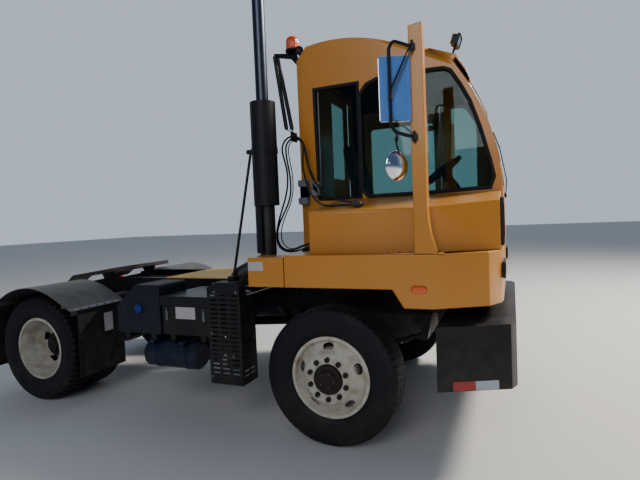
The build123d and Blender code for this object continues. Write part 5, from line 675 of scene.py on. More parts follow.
# Inside the cab: moulded trim, and a sprung truck seat. Its foam cushions are covered in dark
# cloth sewn in channels, and stand on a plastic pan over a rubber bellows.
cloth = finish_of("seat_cloth", (0.05, 0.05, 0.055), 0.85, aged=(0.08, 0.08, 0.085), dust=0.05, grain=0.3,
                  grain_scale=700)
dress(moulded, "driving_controls", "grille")
SEAT_X = FRONT_AXLE + 0.060
SEAT_SIDES = (0.135, 0.605)
CLOTH_GRID = 0.006
SWELL_PRESSURE = 4
SWELL_FRAMES = 20
SWELL_CAP = 0.010
STITCH_WIDTH = 0.006


def padded_seat(name, side_line, cross_channel):
    """A cushion: its side outline carried across the seat, swollen by cloth pressure, then sewn.

    cross_channel is where the stitching pulls the cloth in across the seat: (axis, place, depth).
    """
    shape = bmesh.new()
    slab(shape, [(SEAT_X + x, SEAT_SIDES[1], z) for x, z in side_line],
         (0, SEAT_SIDES[0] - SEAT_SIDES[1], 0), 0.022, 4)
    bmesh.ops.recalc_face_normals(shape, faces=shape.faces)
    start = bpy.data.meshes.new(f"{name}_start")
    shape.to_mesh(start)
    shape.free()
    pad = shown(f"{name}_start", start)
    even_grid = pad.modifiers.new("grid", "REMESH")
    even_grid.mode = "VOXEL"
    even_grid.voxel_size = CLOTH_GRID
    grid = baked(pad)
    rest = [vert.co.copy() for vert in grid.vertices]
    pad = shown(f"{name}_cloth", grid)
    swell = pad.modifiers.new("cloth", "CLOTH")
    swell.settings.use_pressure = True
    swell.settings.uniform_pressure_force = SWELL_PRESSURE
    swell.settings.effector_weights.gravity = 0
    for frame_number in range(1, SWELL_FRAMES + 1):
        bpy.context.scene.frame_set(frame_number)
    grid = baked(pad)
    bpy.context.scene.frame_set(1)
    # two channels run lengthwise, one crosswise
    channels = [(1, 0.230, 0.007), (1, 0.510, 0.007), cross_channel]
    outwards = [vert.normal.copy() for vert in grid.vertices]
    for vert, before, outward in zip(grid.vertices, rest, outwards):
        moved = vert.co - before
        if moved.length > SWELL_CAP:
            vert.co = before + moved * (SWELL_CAP / moved.length)
        for axis, place, depth in channels:
            away = (vert.co[axis] - place) / STITCH_WIDTH
            vert.co -= outward * depth * math.exp(-away * away)
    grid.materials.clear()
    grid.materials.append(cloth)
    grid.polygons.foreach_set("use_smooth", [True] * len(grid.polygons))
    made = shown(name, grid)
    made.modifiers.new("soft", "SUBSURF").render_levels = 1
    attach(made, "cab")
    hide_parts("seat")


padded_seat("seat_cushion", [(-0.238, 1.752), (0.255, 1.760), (0.262, 1.820), (0.226, 1.838),
                             (-0.150, 1.832), (-0.232, 1.815)], (0, SEAT_X + 0.100, 0.006))
padded_seat("seat_back", [(-0.250, 1.830), (-0.170, 1.858), (-0.268, 2.330), (-0.302, 2.380),
                          (-0.348, 2.372), (-0.352, 2.330)], (2, 2.160, 0.006))
base = bmesh.new()
plate(base, (0.470, 0.440, 0.030), (SEAT_X, 0.370, 1.7200), FORE, LEFT, (0, 0, 0.028), 0.006)
for fold, reach in enumerate((0.186, 0.172, 0.186, 0.172, 0.186, 0.172, 0.186)):
    height = 1.440 + fold * 0.040
    plate(base, (2 * reach, 2 * reach - 0.02, 0.030), (SEAT_X, 0.370, height), FORE, LEFT,
          (0, 0, 0.0405), 0.006)
plate(base, (0.376, 0.356, 0.010), (SEAT_X, 0.370, 1.4005), FORE, LEFT, (0, 0, 0.040), 0.003)
piece_of("seat_base", base, moulded, "cab", "seat", slot="plastic", smooth=35)

# Hoses: three rubber lines from unions on the cab's side wall, up over the hanger's clamp and
# down to couplers that lie on the hood, and to a holder.
hose_rubber = finish_of("hose_rubber", (0.010, 0.010, 0.011), 0.5, aged=(0.03, 0.028, 0.026), aged_scale=20,
                        dust=0.12, dust_top=2.5, grain=0.05, grain_scale=300)
hose_green = finish_of("hose_green", (0.012, 0.075, 0.030), 0.5, aged=(0.02, 0.04, 0.03), aged_scale=20,
                       dust=0.12, dust_top=2.5, grain=0.05, grain_scale=300)
near_points = [
    (-.340, -.392, 1.452), (-.340, -.441, 1.452), (-.364, -.492, 1.438), (-.420, -.532, 1.412),
    (-.490, -.554, 1.388), (-.568, -.563, 1.378), (-.642, -.567, 1.398), (-.685, -.569, 1.455),
    (-.689, -.569, 1.545), (-.665, -.568, 1.650), (-.626, -.564, 1.755), (-.588, -.558, 1.860),
    (-.567, -.552, 1.965), (-.568, -.545, 2.065), (-.590, -.530, 2.150), (-.614, -.520, 2.220),
    (-.628, -.516, 2.284), (-.608, -.516, 2.347), (-.554, -.516, 2.388), (-.486, -.516, 2.388),
    (-.431, -.516, 2.348), (-.406, -.512, 2.285), (-.400, -.496, 2.190), (-.394, -.474, 2.095),
    (-.366, -.454, 2.003), (-.312, -.446, 1.932), (-.245, -.456, 1.874), (-.172, -.492, 1.836),
    (-.102, -.552, 1.812), (-.032, -.628, 1.797), (.025, -.700, 1.788), (.072, -.768, 1.7805),
    (.120, -.830, 1.771),
]
far_points = [
    (-.410, -.392, 1.446), (-.410, -.441, 1.446), (-.434, -.482, 1.438), (-.476, -.506, 1.420),
    (-.530, -.512, 1.400), (-.596, -.512, 1.388), (-.660, -.513, 1.404), (-.706, -.514, 1.460),
    (-.712, -.515, 1.545), (-.684, -.515, 1.635), (-.636, -.515, 1.718), (-.588, -.515, 1.800),
    (-.560, -.514, 1.890), (-.557, -.510, 1.985), (-.570, -.502, 2.080), (-.590, -.492, 2.170),
    (-.606, -.484, 2.256), (-.603, -.480, 2.329), (-.554, -.480, 2.376), (-.486, -.480, 2.376),
    (-.437, -.480, 2.329), (-.436, -.480, 2.256), (-.446, -.488, 2.176), (-.430, -.515, 2.085),
    (-.392, -.562, 2.005), (-.345, -.625, 1.930), (-.290, -.690, 1.866), (-.225, -.765, 1.815),
    (-.155, -.835, 1.778), (-.085, -.890, 1.756), (-.010, -.926, 1.751), (.070, -.946, 1.753),
    (.150, -.958, 1.7512),
]
signal_points = [
    (-.465, -.390, 1.438), (-.465, -.421, 1.438), (-.480, -.447, 1.434), (-.508, -.460, 1.425),
    (-.548, -.463, 1.408), (-.596, -.462, 1.397), (-.652, -.458, 1.412), (-.698, -.456, 1.468),
    (-.704, -.456, 1.555), (-.678, -.456, 1.642), (-.634, -.456, 1.728), (-.590, -.455, 1.815),
    (-.566, -.453, 1.910), (-.562, -.452, 2.005), (-.570, -.451, 2.100), (-.588, -.450, 2.190),
    (-.598, -.450, 2.272), (-.590, -.450, 2.330), (-.552, -.450, 2.366), (-.488, -.450, 2.366),
    (-.450, -.447, 2.330), (-.444, -.438, 2.262), (-.436, -.430, 2.190), (-.418, -.422, 2.118),
    (-.388, -.411, 2.058), (-.372, -.408, 2.018), (-.372, -.408, 1.990),
]
# columns: name, CAD node, route, diameter, length, what its far end meets, finish, slot
hose_table = [
    ("hose_line_near", "hose_near", near_points, 0.016, 2.673, "connector", hose_rubber, "rubber"),
    ("hose_line_far", "hose_far", far_points, 0.016, 2.621, "connector", hose_rubber, "rubber"),
    ("hose_line_signal", "hose_signal", signal_points, 0.010, 1.717, "object", hose_green, "green"),
]
coupler_grey = finish_of("coupler_grey", (0.045, 0.046, 0.050), 0.42, metal=0.5, aged=(0.12, 0.11, 0.10),
                         aged_scale=30, dust=0.12, dust_top=2.5)
holder_grey = finish_of("holder_grey", (0.17, 0.19, 0.23), 0.5, aged=(0.09, 0.09, 0.095), aged_scale=18,
                        aged_share=0.6, dust=0.15, dust_top=2.5)
dress(coupler_grey, "hose_couplers")
dress(holder_grey, "hose_fittings", edge=0.003)
reliefs = bmesh.new()
for name, node_name, route, diameter, length, far_end, finish, slot_name in hose_table:
    line = bpy.data.curves.new(name, "CURVE")
    line.dimensions = "3D"
    line.bevel_depth = diameter / 2
    line.bevel_resolution = 4
    line.resolution_u = 8
    line.use_fill_caps = True
    spline = line.splines.new("NURBS")
    spline.points.add(len(route) - 1)
    for control, (x, y, z) in zip(spline.points, route):
        control.co = (*at(x, y, z), 1)
    spline.order_u = 3
    spline.use_endpoint_u = True
    line.materials.append(finish)
    hose = shown(name, line)
    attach(hose, "cab")
    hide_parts(node_name)
    first = at(*route[0])
    thick = diameter / 2
    turned(reliefs, first - Vector((0, -0.004, 0)), (0, -1, 0),
           [(0, thick + .0045), (.012, thick + .0045), (.030, thick + .0018), (.038, thick + .0007)], 20)
piece_of("hose_reliefs", reliefs, coupler_grey, "cab", slot="coupler")

# Hanger: two steel coil springs hooked between the bracket and the clamp, so that the hoses
# give when the machine moves; the bracket is black steel, bolted to the cab's corner.
spring_steel = finish_of("spring_steel", (0.10, 0.105, 0.11), 0.42, metal=0.7, aged=(0.07, 0.06, 0.05),
                         aged_scale=25, dust=0.08, dust_top=2.5)
dress(black_paint, "hose_hanger")
# columns: upper end, lower end of a spring
spring_ends = [
    ((-.790, -.262, 3.196), (-.600, -.462, 2.470)),
    ((-.770, -.238, 3.190), (-.545, -.462, 2.460)),
]
COIL_RADIUS = 0.0165
coils = bmesh.new()
for upper, lower in spring_ends:
    top, low_end = at(*upper), at(*lower)
    along = (low_end - top).normalized()
    span = (low_end - top).length
    side = along.orthogonal().normalized()
    other = along.cross(side)
    helix = []
    turns = int(span / 0.0105)
    for step in range(turns * 10 + 1):
        share = step / (turns * 10)
        turn = 2 * math.pi * turns * share
        helix.append(top + along * span * share + on_circle(side, other, turn) * COIL_RADIUS)
    tube(coils, helix, 0.0031, 6)
    for end, away in ((top, -along), (low_end, along)):
        turned(coils, end - away * 0.022, away, [(0, .014), (.016, .0165), (.026, .012), (.034, .006)], 14)
piece_of("hanger_springs", coils, spring_steel, "cab", slot="steel", smooth=60)

# Mirrors: on each side a bent black tube carries a stainless flat head and a chromed round
# one; two thin bars brace it from the upper foot, down to a clamp, and a third the lower bend.
# the flat heads' stainless covers are coloured sky blue, with darker blue patches: a painted reflection of
# the sky
mirror_painted_sky_reflection = finish_of("mirror_painted_sky_reflection", (0.13, 0.33, 0.80), 0.22, metal=0.35, aged=(0.09, 0.24, 0.62),
                         aged_scale=3, dust=0.04, dust_top=2.0, grain=0.01)
mirror_chrome = hard_material("mirror_chrome", (0.80, 0.84, 0.90), 0.06, metal=1.0)
looking_glass = hard_material("looking_glass", (0.86, 0.88, 0.90), 0.02, metal=1.0)
bare_bar = finish_of("bare_bar", (0.13, 0.14, 0.16), 0.4, metal=0.7, aged=(0.10, 0.06, 0.04), aged_scale=30,
                     dust=0.06, dust_top=2.0)
arm_tubes, arm_bars, head_covers, head_rims, bowls, mirror_faces = (bmesh.new() for _ in range(6))
HEAD_NORMAL = Vector((0.386, -0.92, 0)).normalized()
BOWL_NORMAL = Vector((0.845, -0.534, -0.06)).normalized()
# columns: side of the machine (1 is the right), X of the arm's roots, Y of the surface that carries it
for side, root_x, surface_y in ((1, 0.678, -1.205), (-1, 0.590, -1.100)):

    def on_arm(x, y, z, side=side):
        """A point of the right-hand arm, carried to this side."""
        return at(x, side * y, z)

    root_y = surface_y - 0.018
    route = [on_arm(root_x, root_y + 0.012, 2.718), on_arm(0.572, -1.292, 2.748),
             on_arm(0.548, -1.304, 2.700), on_arm(0.548, -1.304, 2.230), on_arm(0.572, -1.292, 2.180),
             on_arm(root_x, root_y + 0.012, 2.150)]
    tube(arm_tubes, rounded(route, 0.05), 0.011, 14)
    for root_z in (2.718, 2.150):
        plate(arm_tubes, (0.036, 0.044, 0.006), on_arm(root_x, surface_y - 0.0005, root_z), FORE,
              UP, (0, -side * 0.017, 0), 0.002)
        for knob_z in (-0.030, 0.030):
            turned(arm_tubes, on_arm(root_x, surface_y - 0.006, root_z + knob_z), (0, -side, 0),
                   [(0, 0.005), (0.010, 0.0085), (0.020, 0.0085), (0.023, 0.005)], 14)
    grip = on_arm(0.548, -1.304, 2.402)
    plate(arm_bars, (0.034, 0.030, 0.006), grip - HEAD_NORMAL * 0.004 * side, FORE, UP,
          (0, side * 0.020, 0), 0.002)
    tube(arm_bars, [on_arm(root_x - 0.004, root_y - 0.002, 2.696), on_arm(0.566, -1.299, 2.43), grip],
         0.0055, 8)
    tube(arm_tubes, [on_arm(root_x - 0.020, root_y - 0.004, 2.706), on_arm(0.556, -1.296, 2.46), grip],
         0.0050, 8)
    tube(arm_bars, [on_arm(0.556, -1.298, 2.262), on_arm(0.600, -1.272, 2.235),
                    on_arm(root_x - 0.012, root_y, 2.172)], 0.0045, 8)
    normal = Vector((HEAD_NORMAL.x, side * HEAD_NORMAL.y, 0))
    across = Vector((-normal.y, normal.x, 0)) * side
    middle = on_arm(0.573, -1.268, 2.458)
    # the head's cover is a pressed tray with two upright folds
    columns = [(-0.0990, -0.0170), (-0.0990, -0.0030), (-0.0950, -0.0005), (-0.0500, -0.0005),
               (-0.0470, -0.0030), (-0.0430, -0.0030), (-0.0400, -0.0005), (0.0600, -0.0005),
               (0.0630, -0.0030), (0.0670, -0.0030), (0.0700, -0.0005), (0.0950, -0.0005),
               (0.0990, -0.0030), (0.0990, -0.0170)]
    rows = []
    for height, inset in ((-0.2035, 0.0035), (-0.2000, 0.0), (-0.1000, 0.0), (0.1000, 0.0), (0.2000, 0.0),
                          (0.2035, 0.0035)):
        rows.append([
            head_covers.verts.new(middle + across * u + normal * (v - inset) + Vector((0, 0, height)))
            for u, v in columns
        ])
    skin(head_covers, rows)
    outline = placed(rounded_box(0.1985, 0.4080, 0.012), middle - normal * 0.0168, across, UP)
    rim = [*outline, outline[0]]
    tube(head_rims, rim, 0.0026, 8)
    plate(mirror_faces, (0.190, 0.399, 0.010), middle - normal * 0.0172, across, UP,
          normal * -0.0024)
    # the round head hangs from the lower bend on a short stem
    bowl_axis = Vector((BOWL_NORMAL.x, side * BOWL_NORMAL.y, BOWL_NORMAL.z))
    bowl_middle = on_arm(0.560, -1.229, 1.978)
    turned(bowls, bowl_middle, bowl_axis,
           [(-0.010, 0.0915), (-0.008, 0.0965), (-0.002, 0.0985), (0.003, 0.0965), (0.006, 0.0915),
            (0.018, 0.0820), (0.030, 0.0640), (0.038, 0.0420), (0.042, 0.0200), (0.043, 0.0040)], 48)
    turned(mirror_faces, bowl_middle, bowl_axis,
           [(-0.0102, 0.0900), (-0.0140, 0.0600), (-0.0155, 0.0300), (-0.0160, 0.0020)], 40)
    hook = [on_arm(0.580, -1.290, 2.176), on_arm(0.574, -1.276, 2.140), on_arm(0.566, -1.250, 2.110),
            bowl_middle + bowl_axis * 0.020 + Vector((0, 0, 0.088)), bowl_middle + bowl_axis * 0.040]
    tube(arm_tubes, rounded(hook, 0.03), 0.0058, 10)
    turned(arm_tubes, hook[1], Vector(hook[1]) - Vector(hook[0]), [(-0.012, 0.012), (0.012, 0.012)], 14)
piece_of("mirror_arms", arm_tubes, black_paint, "cab", "mirrors", slot="black")
piece_of("mirror_bars", arm_bars, bare_bar, "cab", slot="steel")
# the covers carry the painted sky reflection
piece_of("mirror_covers", head_covers, mirror_painted_sky_reflection, "cab", slot="steel", smooth=25)
piece_of("mirror_rims", head_rims, mirror_chrome, "cab", slot="steel")
piece_of("mirror_bowls", bowls, mirror_chrome, "cab", slot="steel", smooth=50)
piece_of("mirror_faces", mirror_faces, looking_glass, "cab", slot="steel")

# Lamps on the cab: headlamps with a black bezel and a ribbed clear lens, an amber side
# marker, and a finned work light on a yoke at the roof's edge.
lens_clear = hard_material("clear_lens", (0.90, 0.93, 0.95), 0.04)
let_light_through(lens_clear, 1.0)
amber = hard_material("amber_lens", (0.90, 0.13, 0.006), 0.16, coat=0.6)
let_light_through(amber, 0.25)
bezels, lenses, reflectors, markers = (bmesh.new() for _ in range(4))
SKIRT_X = FRONT_AXLE + 1.175


def framed(mesh, outer, inner, origin, across, up, depth):
    """A frame between two outlines with as many points, carried along the vector depth."""
    rings = []
    for pairs, shift in ((outer, 0), (outer, 0.75), (outer, 1), (inner, 1), (inner, 0)):
        grow = 0.985 if (pairs is outer and shift == 1) else 1.0
        rings.append([
            mesh.verts.new(point + Vector(depth) * shift)
            for point in placed([(u * grow, v * grow) for u, v in pairs], origin, across, up)
        ])
    skin(mesh, rings, looped=True)


for lamp_y in (-0.800, -0.620, 0.620, 0.800):
    place = (SKIRT_X + 0.0004, lamp_y, 1.260)
    framed(bezels, rounded_box(0.150, 0.110, 0.012), rounded_box(0.126, 0.086, 0.010), place, LEFT, UP,
           (0.0155, 0, 0))
    plate(reflectors, (0.124, 0.084, 0.009), place, LEFT, UP, (0.002, 0, 0))
    turned(reflectors, (place[0] + 0.002, lamp_y, 1.260), FORE,
           [(0, 0.034), (0.002, 0.032), (0.003, 0.020), (0.004, 0.006)], 28)
    plate(lenses, (0.125, 0.085, 0.010), (place[0] + 0.0085, lamp_y, 1.260), LEFT, UP,
          (0.003, 0, 0))
    for rib in range(-5, 6):
        tube(lenses, [(place[0] + 0.0117, lamp_y + rib * 0.0105, 1.221),
                      (place[0] + 0.0117, lamp_y + rib * 0.0105, 1.299)], 0.0008, 6)
marker_place = at(0.674, -1.2154, 1.171)
pill = rounded_box(0.104, 0.050, 0.0249, 8)
slab(bezels, placed([(u * 0.999, v * 0.999) for u, v in pill], marker_place, FORE, UP), (0, -0.003, 0))
pill_rings = []
for grow, lift in ((0.96, 0.003), (0.95, 0.008), (0.86, 0.0125), (0.60, 0.0134)):
    pill_rings.append([
        markers.verts.new(point + Vector((0, -lift, 0)))
        for point in placed([(u * grow, v * grow) for u, v in pill], marker_place, FORE, UP)
    ])
skin(markers, pill_rings)
work_axis = Vector((1, 0, -0.35)).normalized()
work_up = Vector((0.35, 0, 1)).normalized()
work_back = at(0.812, -0.200, 3.075)
plate(bezels, (0.126, 0.078, 0.012), work_back + work_axis * 0.018, LEFT, work_up, work_axis * 0.030,
      0.003)
for fin in range(5):
    plate(bezels, (0.116, 0.0045, 0.001, 1), work_back + work_axis * 0.0015 + work_up * (fin - 2) * 0.016,
          LEFT, work_up, work_axis * 0.017)
framed(bezels, rounded_box(0.150, 0.094, 0.013), rounded_box(0.132, 0.076, 0.009),
       work_back + work_axis * 0.046, LEFT, work_up, work_axis * 0.022)
plate(reflectors, (0.132, 0.076, 0.009), work_back + work_axis * 0.0485, LEFT, work_up,
      work_axis * 0.002)
plate(lenses, (0.131, 0.075, 0.009), work_back + work_axis * 0.060, LEFT, work_up, work_axis * 0.003)
# the yoke: a strap each side and a stalk down to the roof
for side in (-1, 1):
    yoke_y = -0.200 + side * 0.0755
    slab(bezels, [at(0.824, yoke_y, 3.022), at(0.846, yoke_y, 3.018),
                  at(0.852, yoke_y, 3.068), at(0.830, yoke_y, 3.072)], (0, side * 0.0028, 0))
    turned(bezels, at(0.841, yoke_y + side * 0.0028, 3.060), (0, side, 0),
           [(0, 0.009), (0.001, 0.009)], 6)
slab(bezels, [at(0.824, -0.2783, 3.022), at(0.846, -0.2783, 3.018),
              at(0.846, -0.1217, 3.018), at(0.824, -0.1217, 3.022)], (0, 0, -0.003))
tube(bezels, [at(0.808, -0.200, 2.930), at(0.822, -0.200, 2.975),
              at(0.834, -0.200, 3.019)], 0.009, 12)
piece_of("lamp_housings", bezels, black_paint, "cab", "lamps", slot="black", smooth=35)
piece_of("lamp_reflectors", reflectors, mirror_chrome, "cab", slot="steel")
piece_of("lamp_lenses", lenses, lens_clear, "cab", slot="glass")
piece_of("side_marker", markers, amber, "cab", slot="lens")

# Beacon: a fluted amber dome of moulded plastic on a black base, with a small round black lamp
# beside it; both stand on the hanger's bracket.
dome, dome_base = bmesh.new(), bmesh.new()
beacon_foot = at(-0.604, -0.250, 3.2105)
turned(dome_base, beacon_foot, UP, [(0, 0.066), (0.003, 0.0695), (0.018, 0.0695), (0.022, 0.064)], 40)
FLUTES = 40
levels = [(0.0225, 0.0600), (0.026, 0.0632), (0.085, 0.0628), (0.112, 0.0600), (0.128, 0.0500),
          (0.137, 0.0360), (0.1395, 0.0150)]
dome_rings = []
for height, reach in levels:
    ring = []
    for step in range(FLUTES * 2):
        turn = math.pi * step / FLUTES
        size = reach - (0.0016 if step % 2 and 0.024 < height < 0.12 else 0.0)
        ring.append(dome.verts.new((
            beacon_foot[0] + size * math.cos(turn), beacon_foot[1] + size * math.sin(turn),
            beacon_foot[2] + height
        )))
    dome_rings.append(ring)
skin(dome, dome_rings)
piece_of("beacon_dome", dome, amber, "cab", "beacon", slot="lens", smooth=35)
# the round lamp stands on the bracket's wall plate, beside the dome
small_lamp = at(-0.532, -0.262, 3.205)
turned(dome_base, small_lamp, (0.35, -0.94, 0), [(-0.026, 0.018), (-0.016, 0.034), (0.012, 0.038),
                                                 (0.026, 0.038), (0.028, 0.034)], 28)
tube(dome_base, [small_lamp + Vector((0, 0.006, -0.03)), small_lamp + Vector((-0.004, 0.010, -0.085))],
     0.007, 10)
piece_of("beacon_base", dome_base, black_paint, "cab", slot="black")

# Bumper tape and labels: red and white reflecting tape is stuck round the bumper's corners, and
# plain white labels are stuck on the cowl, the battery box and the flap; the tank's cap is blue.
red_tape = finish_of("red_tape", (0.30, 0.012, 0.012), 0.35, dust=0.08, grain=0.05, grain_scale=700)
white_tape = finish_of("white_tape", (0.36, 0.40, 0.46), 0.35, dust=0.08, grain=0.05, grain_scale=700)
label_white = finish_of("label_white", (0.44, 0.43, 0.42), 0.5, aged=(0.30, 0.28, 0.26), aged_scale=25,
                        dust=0.06)


def oblong(low_corner, high_corner):
    """The four corners, in order, of an oblong with its sides along the machine's own directions."""
    (x1, y1, z1), (x2, y2, z2) = low_corner, high_corner
    return [(x1, y1, z1), (x2, y2, z1), (x2, y2, z2), (x1, y1, z2)]


def sticker(name, corners, normal, material, body):
    """A thin sheet stuck on a surface: its four corners, in order."""
    sheet = bmesh.new()
    slab(sheet, [Vector(point) + Vector(normal).normalized() * 0.0004 for point in corners],
         Vector(normal).normalized() * 0.0006)
    return piece_of(name, sheet, material, body, slot="plastic")


corner_rear = at(0.770, -1.215, 0)
corner_front = at(1.217, -1.015, 0)
along_corner = (corner_front - corner_rear).normalized()
corner_normal = Vector((along_corner.y, -along_corner.x, 0))


def on_corner(x, z):
    """A point of the bumper's slanting corner, at a distance from the front axle and a height."""
    share = (FRONT_AXLE + x - corner_rear.x) / (corner_front.x - corner_rear.x)
    point = corner_rear.lerp(corner_front, share)
    return Vector((point.x, point.y, z))


for side, side_name in ((-1, "right"), (1, "left")):
    for start, end, tape, shade in ((0.865, 0.997, red_tape, "red"), (0.999, 1.138, white_tape, "white")):
        corners = [on_corner(start, 0.508), on_corner(end, 0.508), on_corner(end, 0.568),
                   on_corner(start, 0.568)]
        facing = Vector((corner_normal.x, corner_normal.y * -side, 0))
        sticker(f"bumper_tape_{shade}_{side_name}", [Vector((p.x, p.y * -side, p.z)) for p in corners],
                facing, tape, "chassis")
# columns: name, lower corner, upper corner, the way it faces
for name, low_corner, high_corner, facing in (
    ("cowl_label", at(-0.600, -1.215, 1.289), at(-0.471, -1.215, 1.356), (0, -1, 0)),
    ("battery_label", at(-1.360, -1.1501, 0.878), at(-1.162, -1.1501, 0.976), (0, -1, 0)),
    ("flap_label", at(-2.4618, -0.888, 0.648), at(-2.4618, -0.786, 0.828), FORE),
):
    sticker(name, oblong(low_corner, high_corner), facing, label_white, "chassis")
masked(moulded, (0.015, 0.05, 0.26), 0.4, 0.0,
       [("radius", (FRONT_AXLE - 1.745, 0.950), 0.0385, -1), ("side", None, 1.1505, 1)])

# Small fasteners: hexagon bolts and washers on the guard, the post's foot, the fender strips,
# the hub faces and the door hinges.
zinc = finish_of("zinc_plate", (0.19, 0.19, 0.20), 0.42, metal=0.85, aged=(0.16, 0.12, 0.08), aged_scale=40,
                 dust=0.12)
chassis_bolts, cab_bolts = bmesh.new(), bmesh.new()
for x, z in ((-0.969, 0.792), (-0.775, 0.615), (-0.981, 0.446), (-0.730, 1.120), (-0.930, 1.120)):
    bolt(chassis_bolts, at(x, -1.2002, z), (0, -1, 0))
bolt(chassis_bolts, at(-0.6998, -1.014, 0.737), FORE)
for x in (-1.452, -1.078):
    bolt(chassis_bolts, at(x, -1.1502, 0.960), (0, -1, 0), 0.007)
    plate(chassis_bolts, (0.022, 0.085, 0.004), at(x, -1.1504, 0.905), FORE, UP,
          (0, -0.006, 0), 0.0015)
for x in (0.470, 0.545, 0.620, 0.790):
    bolt(cab_bolts, at(x, -1.172, 1.4084), UP, 0.008, 0.007)
for y in (-0.780, -0.470):
    for z in (1.470, 1.710):
        bolt(cab_bolts, at(1.1652, y, z), FORE, 0.006, 0.005)
for z in (1.620, 2.620):
    for x in (0.395, 0.455):
        bolt(cab_bolts, at(x, 1.1062, z), LEFT, 0.007, 0.006)
strips = bmesh.new()
down_slope = Vector((0.883, 0, -0.469))
off_slope = Vector((0.469, 0, 0.883))
for side in (-1, 1):
    middle = at(-2.475, side * 0.935, 0.905) - down_slope * 0.021 + off_slope * 0.0004
    plate(strips, (0.596, 0.036, 0.003, 2), middle, LEFT, down_slope, off_slope * 0.003)
    for step in range(7):
        seat = middle + Vector((0, side * (step - 3) * 0.092, 0)) + off_slope * 0.003
        bolt(strips, seat, off_slope, 0.0075, 0.006)
piece_of("fender_strips", strips, zinc, "chassis", slot="steel")
piece_of("chassis_bolts", chassis_bolts, zinc, "chassis", slot="steel")
piece_of("cab_bolts", cab_bolts, zinc, "cab", slot="steel")
# three-cornered stays that stiffen each front flap below its fender
stays = bmesh.new()
for side in (-1, 1):
    slab(stays, [at(-2.4615, side * 1.176, 0.864), at(-2.4615, side * 0.960, 0.864),
                 at(-2.4615, side * 1.168, 0.690)], (0.0025, 0, 0))
piece_of("flap_stays", stays, fender_grey, "chassis", slot="black")
# the post stands on a flange plate that is bolted down along the ledge
flange = bmesh.new()
for start, end in ((0.450, 0.649), (0.7915, 0.832)):
    slab(flange, [at(start, -1.208, 1.4003), at(end, -1.208, 1.4003), at(end, -1.118, 1.4003),
                  at(start, -1.118, 1.4003)], (0, 0, 0.008), 0.002)
piece_of("post_flange", flange, yellow, "cab", slot="yellow")
# hub faces: five small cap screws round each dark front hub cap, and a brake drum behind the disc
screw_brown = finish_of("screw_brown", (0.13, 0.085, 0.055), 0.55, metal=0.6, aged=(0.10, 0.035, 0.012),
                        aged_scale=60, dust=0.10)
for side, side_name in ((-1, "right"), (1, "left")):
    screws, drum = bmesh.new(), bmesh.new()
    for step in range(5):
        turn = math.radians(72 * step + 20)
        seat = (FRONT_AXLE + 0.055 * math.sin(turn), side * 1.2142, AXLE_Z + 0.055 * math.cos(turn))
        bolt(screws, seat, (0, side, 0), 0.0055, 0.005)
    piece_of(f"hub_screws_{side_name}", screws, screw_brown, f"front_roadwheel_{side_name}", slot="steel")
    # columns: distance outwards, radius of the drum's section
    rings = [(0, 0.2078), (0, 0.222), (0.006, 0.228), (0.024, 0.228), (0.027, 0.224), (0.033, 0.224),
             (0.036, 0.228), (0.060, 0.228), (0.068, 0.218), (0.068, 0.2078)]
    skin(drum, [
        circle(drum, at(0, side * (1.000 + along), AXLE_Z), Vector(UP), Vector(FORE), radius, 56)
        for along, radius in rings
    ], looped=True)
    piece_of(f"brake_drum_{side_name}", drum, hot_black, f"front_roadwheel_{side_name}", slot="black")

# Side window slider: a bright aluminium track down the rear pane's front edge, pressed into
# the window's rubber.
track = bmesh.new()
slab(track, oblong(at(-0.336, -0.358, 1.880), at(-0.326, -0.358, 2.780)), (0, 0.012, 0), 0.001)
piece_of("slider_track", track, bare_bar, "cab", slot="steel")

# Wiper: a twin arm of bent black wire, turned by a shaft through the cab's front, and a rubber
# blade that lies against the windscreen's curve.
wiper_arm, wiper_blade = bmesh.new(), bmesh.new()


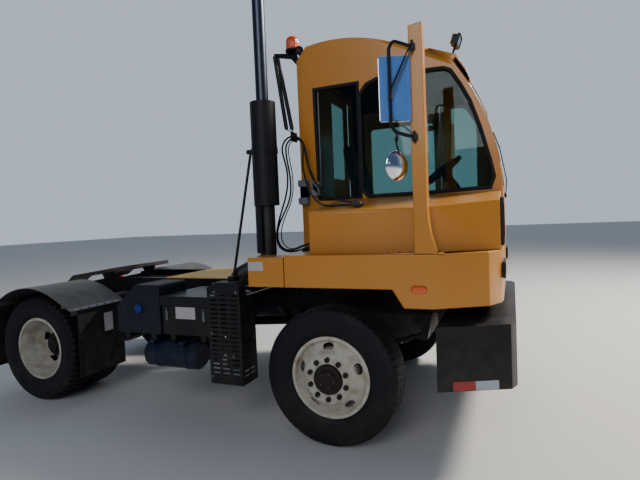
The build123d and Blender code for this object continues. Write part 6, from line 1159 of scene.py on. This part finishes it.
def on_screen(z, y, out):
    """A point at height z and width y, a distance out from the windscreen's outer face.

    The face's curve is the parabola through three of its points, each (X, Z).
    """
    brow, waist, sill = (0.870, 2.790), (1.045, 2.432), (1.150, 1.870)
    x = 0.0
    for point, first, second in ((brow, waist, sill), (waist, brow, sill), (sill, brow, waist)):
        x += (point[0] * (z - first[1]) * (z - second[1])
              / ((point[1] - first[1]) * (point[1] - second[1])))
    lean = math.radians(10 + 28 * (z - sill[1]) / (brow[1] - sill[1]))
    return Vector((FRONT_AXLE + x + out * math.cos(lean), y, z + out * math.sin(lean)))


turned(wiper_arm, at(1.1785, 0.285, 1.800), (1, 0, 0.1), [(0, 0.020), (0.012, 0.022), (0.020, 0.014)], 20)
for shift in (0.0, 0.028):
    tube(wiper_arm, rounded([at(1.190, 0.285 - shift, 1.800), on_screen(1.93, 0.262 - shift, 0.052),
                             on_screen(2.20, 0.205 - shift, 0.040), on_screen(2.34, 0.175 - shift, 0.028)],
                             0.05),
         0.0045, 8)
blade_line = [on_screen(2.34 + step * 0.05, 0.168 - step * 0.012, 0.018) for step in range(-5, 6)]
tube(wiper_blade, blade_line, 0.006, 8)
tube(wiper_blade, [on_screen(2.34 + step * 0.05, 0.168 - step * 0.012, 0.007) for step in range(-6, 7)],
     0.0035, 6)
piece_of("wiper_arm", wiper_arm, black_paint, "cab", slot="black")
piece_of("wiper_blade", wiper_blade, seal_rubber, "cab", slot="rubber")

# Deck lozenges: the raised grip pattern rolled into the walkway plate, each lozenge turned
# square to its neighbours.
lozenges = bmesh.new()
deck_z = 1.1232
for row in range(19):
    for column in range(33):
        x = FRONT_AXLE - 2.055 + column * 0.0435
        y = -0.400 + row * 0.0445
        turn = math.radians(45 if (row + column) % 2 else -45)
        along = Vector((math.cos(turn), math.sin(turn), 0))
        aside = Vector((-along.y, along.x, 0))
        middle = Vector((x, y, deck_z - 0.0004))
        foot = [lozenges.verts.new(middle + along * u + aside * v)
                for u, v in ((-0.015, 0), (0, 0.0045), (0.015, 0), (0, -0.0045))]
        ridge = [lozenges.verts.new(middle + along * u + Vector((0, 0, 0.0019))) for u in (-0.008, 0.008)]
        lozenges.faces.new((foot[0], foot[1], ridge[1], ridge[0]))
        lozenges.faces.new((foot[1], foot[2], ridge[1]))
        lozenges.faces.new((foot[2], foot[3], ridge[0], ridge[1]))
        lozenges.faces.new((foot[3], foot[0], ridge[0]))
        lozenges.faces.new(foot[::-1])
piece_of("deck_lozenges", lozenges, deck_yellow, "chassis", slot="yellow", smooth=10)

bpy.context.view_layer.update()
